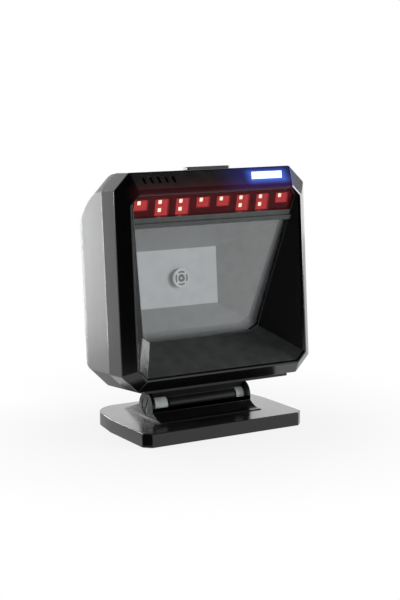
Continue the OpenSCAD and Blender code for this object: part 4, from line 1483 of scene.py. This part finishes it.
@dataclass
class LampBar(Assembly):
    """Lamps above the window: tinted window, reflector, lamps and board."""

    sizes: HeadSizes = field(default_factory=HeadSizes)
    front: float = 2.9 * MM
    back: float = 7.3 * MM
    die_border: float = 0.06 * MM
    die_depth: float = 0.25 * MM
    die_draft: float = 0.1 * MM
    lamp_edge: float = 0.12 * MM
    die_light: Colour = (3.0, 2.1, 1.6)

    def build(self) -> None:
        """Builds the lamps and dresses the bar."""
        axes = self.sizes.window_axes()
        # The wells and the lamp board get the lamps' red light painted on as a glow.
        well = LitWell("lamp well painted red glow", axes, self.front, self.back)
        floor = LitWell("lamp board painted red glow", axes, self.front, self.back)
        self.put(self.lamps(axes), self.package(), "lamp_plastic", "lamps")
        reflector = Bench.copy_of("lamp_reflector", "reflector")
        self.put(Bench.smooth(reflector, 20.0), well, "reflector_plastic", "lamp_reflector")
        self.coat(floor, "lamp_board")
        self.coat(ClearSheet("lamp window tint", (0.012, 0.001, 0.0015), 0.3, 0.04, 0.0, 0.2), "lamp_window")

    @staticmethod
    def package() -> Finish:
        """Gives the finish of a lamp's moulded package."""
        return MouldedPlastic("lamp package pink", (0.8, 0.3, 0.28), 0.4, grain=0.001 * MM)

    def lamps(self, axes: Datum) -> Object:
        """Models one lamp with its sunk die and copies it to every place.

        Args:
            axes: the window's axes.

        Returns:
            All lamps as one piece.
        """
        boxes = Bench.solids("lamps", axes)
        half = (boxes[0][1] - boxes[0][0]) / 2
        first = Bench.block("lamp", -half, half)

        def inner(middle: Vector, normal: Vector) -> bool:
            """Finds the die, inside the border of the front face."""
            return normal.y < -FACING and math.hypot(middle.x, middle.z) < self.die_border

        def front_edge(a: Vector, b: Vector) -> bool:
            """Finds the outer edges of the front face."""
            return max(a.y, b.y) < -half.y + TOUCH and a.length > half.x

        Bench.inset(first, lambda m, n: n.y < -FACING, self.die_border)
        Bench.inset(first, inner, self.die_draft, -self.die_depth)
        die = Lamp("lamp die", hot=self.die_light, edge=self.die_light)
        Bench.two_tone(first, self.package(), die, inner)
        Bench.round_edges(first, self.lamp_edge, front_edge, 30.0, 2)
        copies = []
        for low, high in boxes:
            copies.append(Bench.clone(first, axes.matrix @ Matrix.Translation((low + high) / 2)))
        bpy.data.objects.remove(first)
        return Bench.smooth(Bench.join(copies, "lamp_dies"))


@dataclass
class CameraUnit(Assembly):
    """Camera behind the window: chamber, plate, lens and sensor."""

    sizes: HeadSizes = field(default_factory=HeadSizes)
    chamber_grey: Finish = MouldedPlastic("chamber grey", (0.21, 0.222, 0.232), 0.5, mottle=0.05)
    plate_grey: Finish = MouldedPlastic("plate grey", (0.50, 0.53, 0.55), 0.45, mottle=0.04)
    ring_grey: Finish = MouldedPlastic("ring grey", (0.58, 0.61, 0.62), 0.35, mottle=0.04)
    barrel_black: Finish = MouldedPlastic("barrel black", (0.02, 0.02, 0.022), 0.4)
    groove_painted_shade: Finish = MouldedPlastic("ring groove painted shade", (0.06, 0.062, 0.066), 0.6)
    groove: tuple[float, float] = (3.9 * MM, 5.35 * MM)
    catchlight: Point = (1.1 * MM, 4 * MM, 1.1 * MM)

    def ring(self) -> Object:
        """Paints shade into the ring's four grooves as a dark colour.

        Returns:
            The ring.
        """
        axes = self.sizes.axes()
        low, high = Bench.solids("lens_ring", axes)[0]
        middle = (low + high) / 2

        def in_groove(centre: Vector, normal: Vector) -> bool:
            """Finds the grooves' floors and walls."""
            point = axes.into(centre)
            away = math.hypot(point.x - middle.x, point.z - middle.z)
            sunk = low.y + TOUCH < point.y < high.y - TOUCH
            return sunk and self.groove[0] < away < self.groove[1]

        piece = Bench.copy_of("lens_ring", "ring")
        Bench.two_tone(piece, self.ring_grey, self.groove_painted_shade, in_groove)
        return Bench.smooth(piece)

    def lens(self) -> Finish:
        """Gives the dark lens, with a small catchlight painted in its middle."""
        axes = self.sizes.axes()
        low, high = Bench.solids("lens_glass", axes)[0]
        painted_catchlight = Glow(axes, (low + high) / 2, (0.0, 0.0, 0.0), self.catchlight, (0.6, 0.62, 0.64), 1.0)
        return ClearSheet("lens glass", (0.05, 0.052, 0.06), 0.8, 0.05, 0.0, glows=(painted_catchlight,))

    def build(self) -> None:
        """Dresses the camera."""
        self.put(self.ring(), self.ring_grey, "ring_plastic", "lens_ring")
        self.coat(self.chamber_grey, "camera_chamber")
        self.coat(self.plate_grey, "camera_plate")
        self.coat(self.barrel_black, "lens_barrel", "lens_holder")
        self.coat(self.lens(), "lens_glass")
        self.coat(MouldedPlastic("sensor slate", (0.05, 0.06, 0.08), 0.2), "image_sensor")
        self.coat(GREEN_BOARD, "camera_board")
        self.coat(PLATED_STEEL, "camera_screws")


@dataclass
class Electronics(Assembly):
    """Main board, its parts and the cable socket."""

    def build(self) -> None:
        """Dresses the electronics."""
        self.coat(GREEN_BOARD, "main_board")
        self.coat(MouldedPlastic("chip black", (0.015, 0.015, 0.017), 0.5), "board_chips")
        self.coat(PLATED_STEEL, "board_screws")
        self.coat(MouldedPlastic("socket black", (0.02, 0.02, 0.022), 0.42), "cable_socket")
        self.coat(Metal("contact brass", (0.78, 0.56, 0.2), 0.25, (1.0, 0.05, 1.0)), "socket_contacts")
        self.coat(MouldedPlastic("ribbon socket ivory", (0.6, 0.57, 0.48), 0.45), "ribbon_socket")
        self.coat(MouldedPlastic("ribbon amber", (0.5, 0.28, 0.08), 0.3), "camera_ribbon")


@dataclass
class Studio:
    """Camera, floor, lamps and the pale room around the scanner."""

    camera_at: Point = (-0.52118, -0.87355, 0.26200)
    camera_looks: Point = (0.50844, 0.84504, -0.16550)
    camera_lens: float = 86.02
    room_light: float = 0.2
    floor_half: float = 4.0
    floor_grey: Colour = (0.4, 0.4, 0.4)
    lit_point: Point = (0.0, 0.0, 0.09)
    shade_reach: tuple[float, float] = (0.06, 0.24)
    shade_share: float = 0.16

    def set_up(self) -> None:
        """Sets up everything around the scanner."""
        bpy.context.scene.view_settings.view_transform = "Standard"
        self.camera()
        self.room()
        self.floor()
        self.lamp("key lamp", (0.95, -0.44, 0.36), (0.72, 0.6), 20.0)
        self.lamp("fill lamp", (0.3, -1.05, 0.35), (0.4, 0.4), 6.0, mirrored=False)
        self.lamp("side lamp", (-0.9, 0.55, 0.3), (0.4, 0.4), 11.5)
        self.lamp("edge lamp", (-0.115, 0.19, 0.12), (0.025, 0.2), 0.45)
        self.lamp("back lamp", (0.6, 1.0, 0.28), (1.2, 0.6), 1.8)
        self.card("front card", (0.0, -0.55, 0.8), 2.6, 1.6)
        self.card("left card", (-0.36, -0.2, 0.13), 0.42, 0.3)
        # The low and side cards paint shade into reflections: dark sheets near the foot's lower faces stand
        # in for shade on the floor.
        self.card("low card", (-0.0715, -0.0476, 0.005), 0.03, 0.02)
        self.card("side card", (-0.087, 0.0, 0.0), 0.06, 0.01)

    def camera(self) -> None:
        """Adds the camera at the photograph's viewing angle."""
        turn = Vector(self.camera_looks).to_track_quat("-Z", "Y").to_euler()
        bpy.ops.object.camera_add(location=self.camera_at, rotation=turn)
        camera = bpy.context.view_layer.objects.active
        camera.name = "camera"
        camera.data.lens = self.camera_lens
        bpy.context.scene.camera = camera

    @staticmethod
    def seen(board: Board) -> Wire:
        """Tells the rays that show the background from those that only light.

        Args:
            board: the shader.

        Returns:
            1 for camera, mirror and glass rays, otherwise 0.
        """
        path = board.add("ShaderNodeLightPath")
        rays = ("Is Camera Ray", "Is Glossy Ray", "Is Transmission Ray")
        camera, glossy, glass = (Wire(board, path.outputs[ray]) for ray in rays)
        return camera.at_least(glossy).at_least(glass)

    def room(self) -> None:
        """Makes the room white to look at and softly lit."""
        world = bpy.data.worlds.new("studio room")
        world.use_nodes = True
        bpy.context.scene.world = world
        board = Board(world.node_tree)
        strength = self.room_light + self.seen(board) * (1 - self.room_light)
        light = board.wire("ShaderNodeBackground", {}, {"Color": (1, 1, 1), "Strength": strength})
        board.add("ShaderNodeOutputWorld", {}, {"Surface": light})

    def floor(self) -> None:
        """Adds the pale floor, which keeps a soft shadow."""
        bpy.ops.object.select_all(action="DESELECT")
        bpy.ops.mesh.primitive_plane_add(size=2 * self.floor_half)
        floor = bpy.context.view_layer.objects.active
        floor.name = "floor"
        material = bpy.data.materials.new("pale floor")
        material.use_nodes = True
        board = Board(material.node_tree)
        matt = board.wire("ShaderNodeBsdfDiffuse", {}, {"Color": self.floor_grey})
        white = board.wire("ShaderNodeEmission", {}, {"Color": (1, 1, 1), "Strength": 1.0})
        x, y, _ = board.split(board.place())
        shade = (1.0 - board.rise((x * x + y * y) ** 0.5, *self.shade_reach)) * self.shade_share
        share = self.seen(board) * (1.0 - shade)
        mixed = board.wire("ShaderNodeMixShader", {}, {0: share, 1: matt, 2: white})
        board.add("ShaderNodeOutputMaterial", {}, {"Surface": mixed})
        floor.data.materials.append(material)

    def aim(self, at: Point) -> Euler:
        """Gives the turn of something that faces the scanner from a place."""
        return (Vector(self.lit_point) - Vector(at)).to_track_quat("-Z", "Y").to_euler()

    def lamp(self, name: str, at: Point, size: tuple[float, float], power: float,
             mirrored: bool = True) -> None:
        """Adds a soft box that faces the scanner.

        Args:
            name: its name.
            at: its place.
            size: its width and height.
            power: its power in watts.
            mirrored: whether glossy surfaces show it.
        """
        bpy.ops.object.light_add(type="AREA", location=at, rotation=self.aim(at))
        lamp = bpy.context.view_layer.objects.active
        lamp.name = name
        lamp.data.shape = "RECTANGLE"
        lamp.data.size, lamp.data.size_y = size
        lamp.data.energy = power
        lamp.visible_camera = False
        lamp.visible_glossy = mirrored

    def card(self, name: str, at: Point, width: float, height: float) -> None:
        """Adds a black card that only mirror-like surfaces see.

        Args:
            name: its name.
            at: its middle.
            width: its width.
            height: its height.
        """
        bpy.ops.object.select_all(action="DESELECT")
        bpy.ops.mesh.primitive_plane_add(size=1.0, location=at, rotation=self.aim(at))
        card = bpy.context.view_layer.objects.active
        card.name = name
        card.scale = (width, height, 1.0)
        material = bpy.data.materials.new(name)
        material.use_nodes = True
        board = Board(material.node_tree)
        board.surface(Base_Color=(0.0, 0.0, 0.0), Roughness=1.0, Specular_IOR_Level=0.0)
        card.data.materials.append(material)
        card.visible_camera = False
        card.visible_diffuse = False
        card.visible_shadow = False
        card.visible_transmission = False


def main() -> None:
    """Builds every sub-assembly and sets up the studio."""
    logging.basicConfig(level=logging.INFO, format="%(name)s: %(message)s", stream=sys.stdout)
    for assembly in (Foot(), Hinge(), Shell(), Controls(), Trigger(), ScanRecess(), LampBar(), CameraUnit(),
                     Electronics()):
        LOG.info("building %s", type(assembly).__name__)
        assembly.build()
    Studio().set_up()
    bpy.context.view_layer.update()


if __name__ == "__main__":
    main()
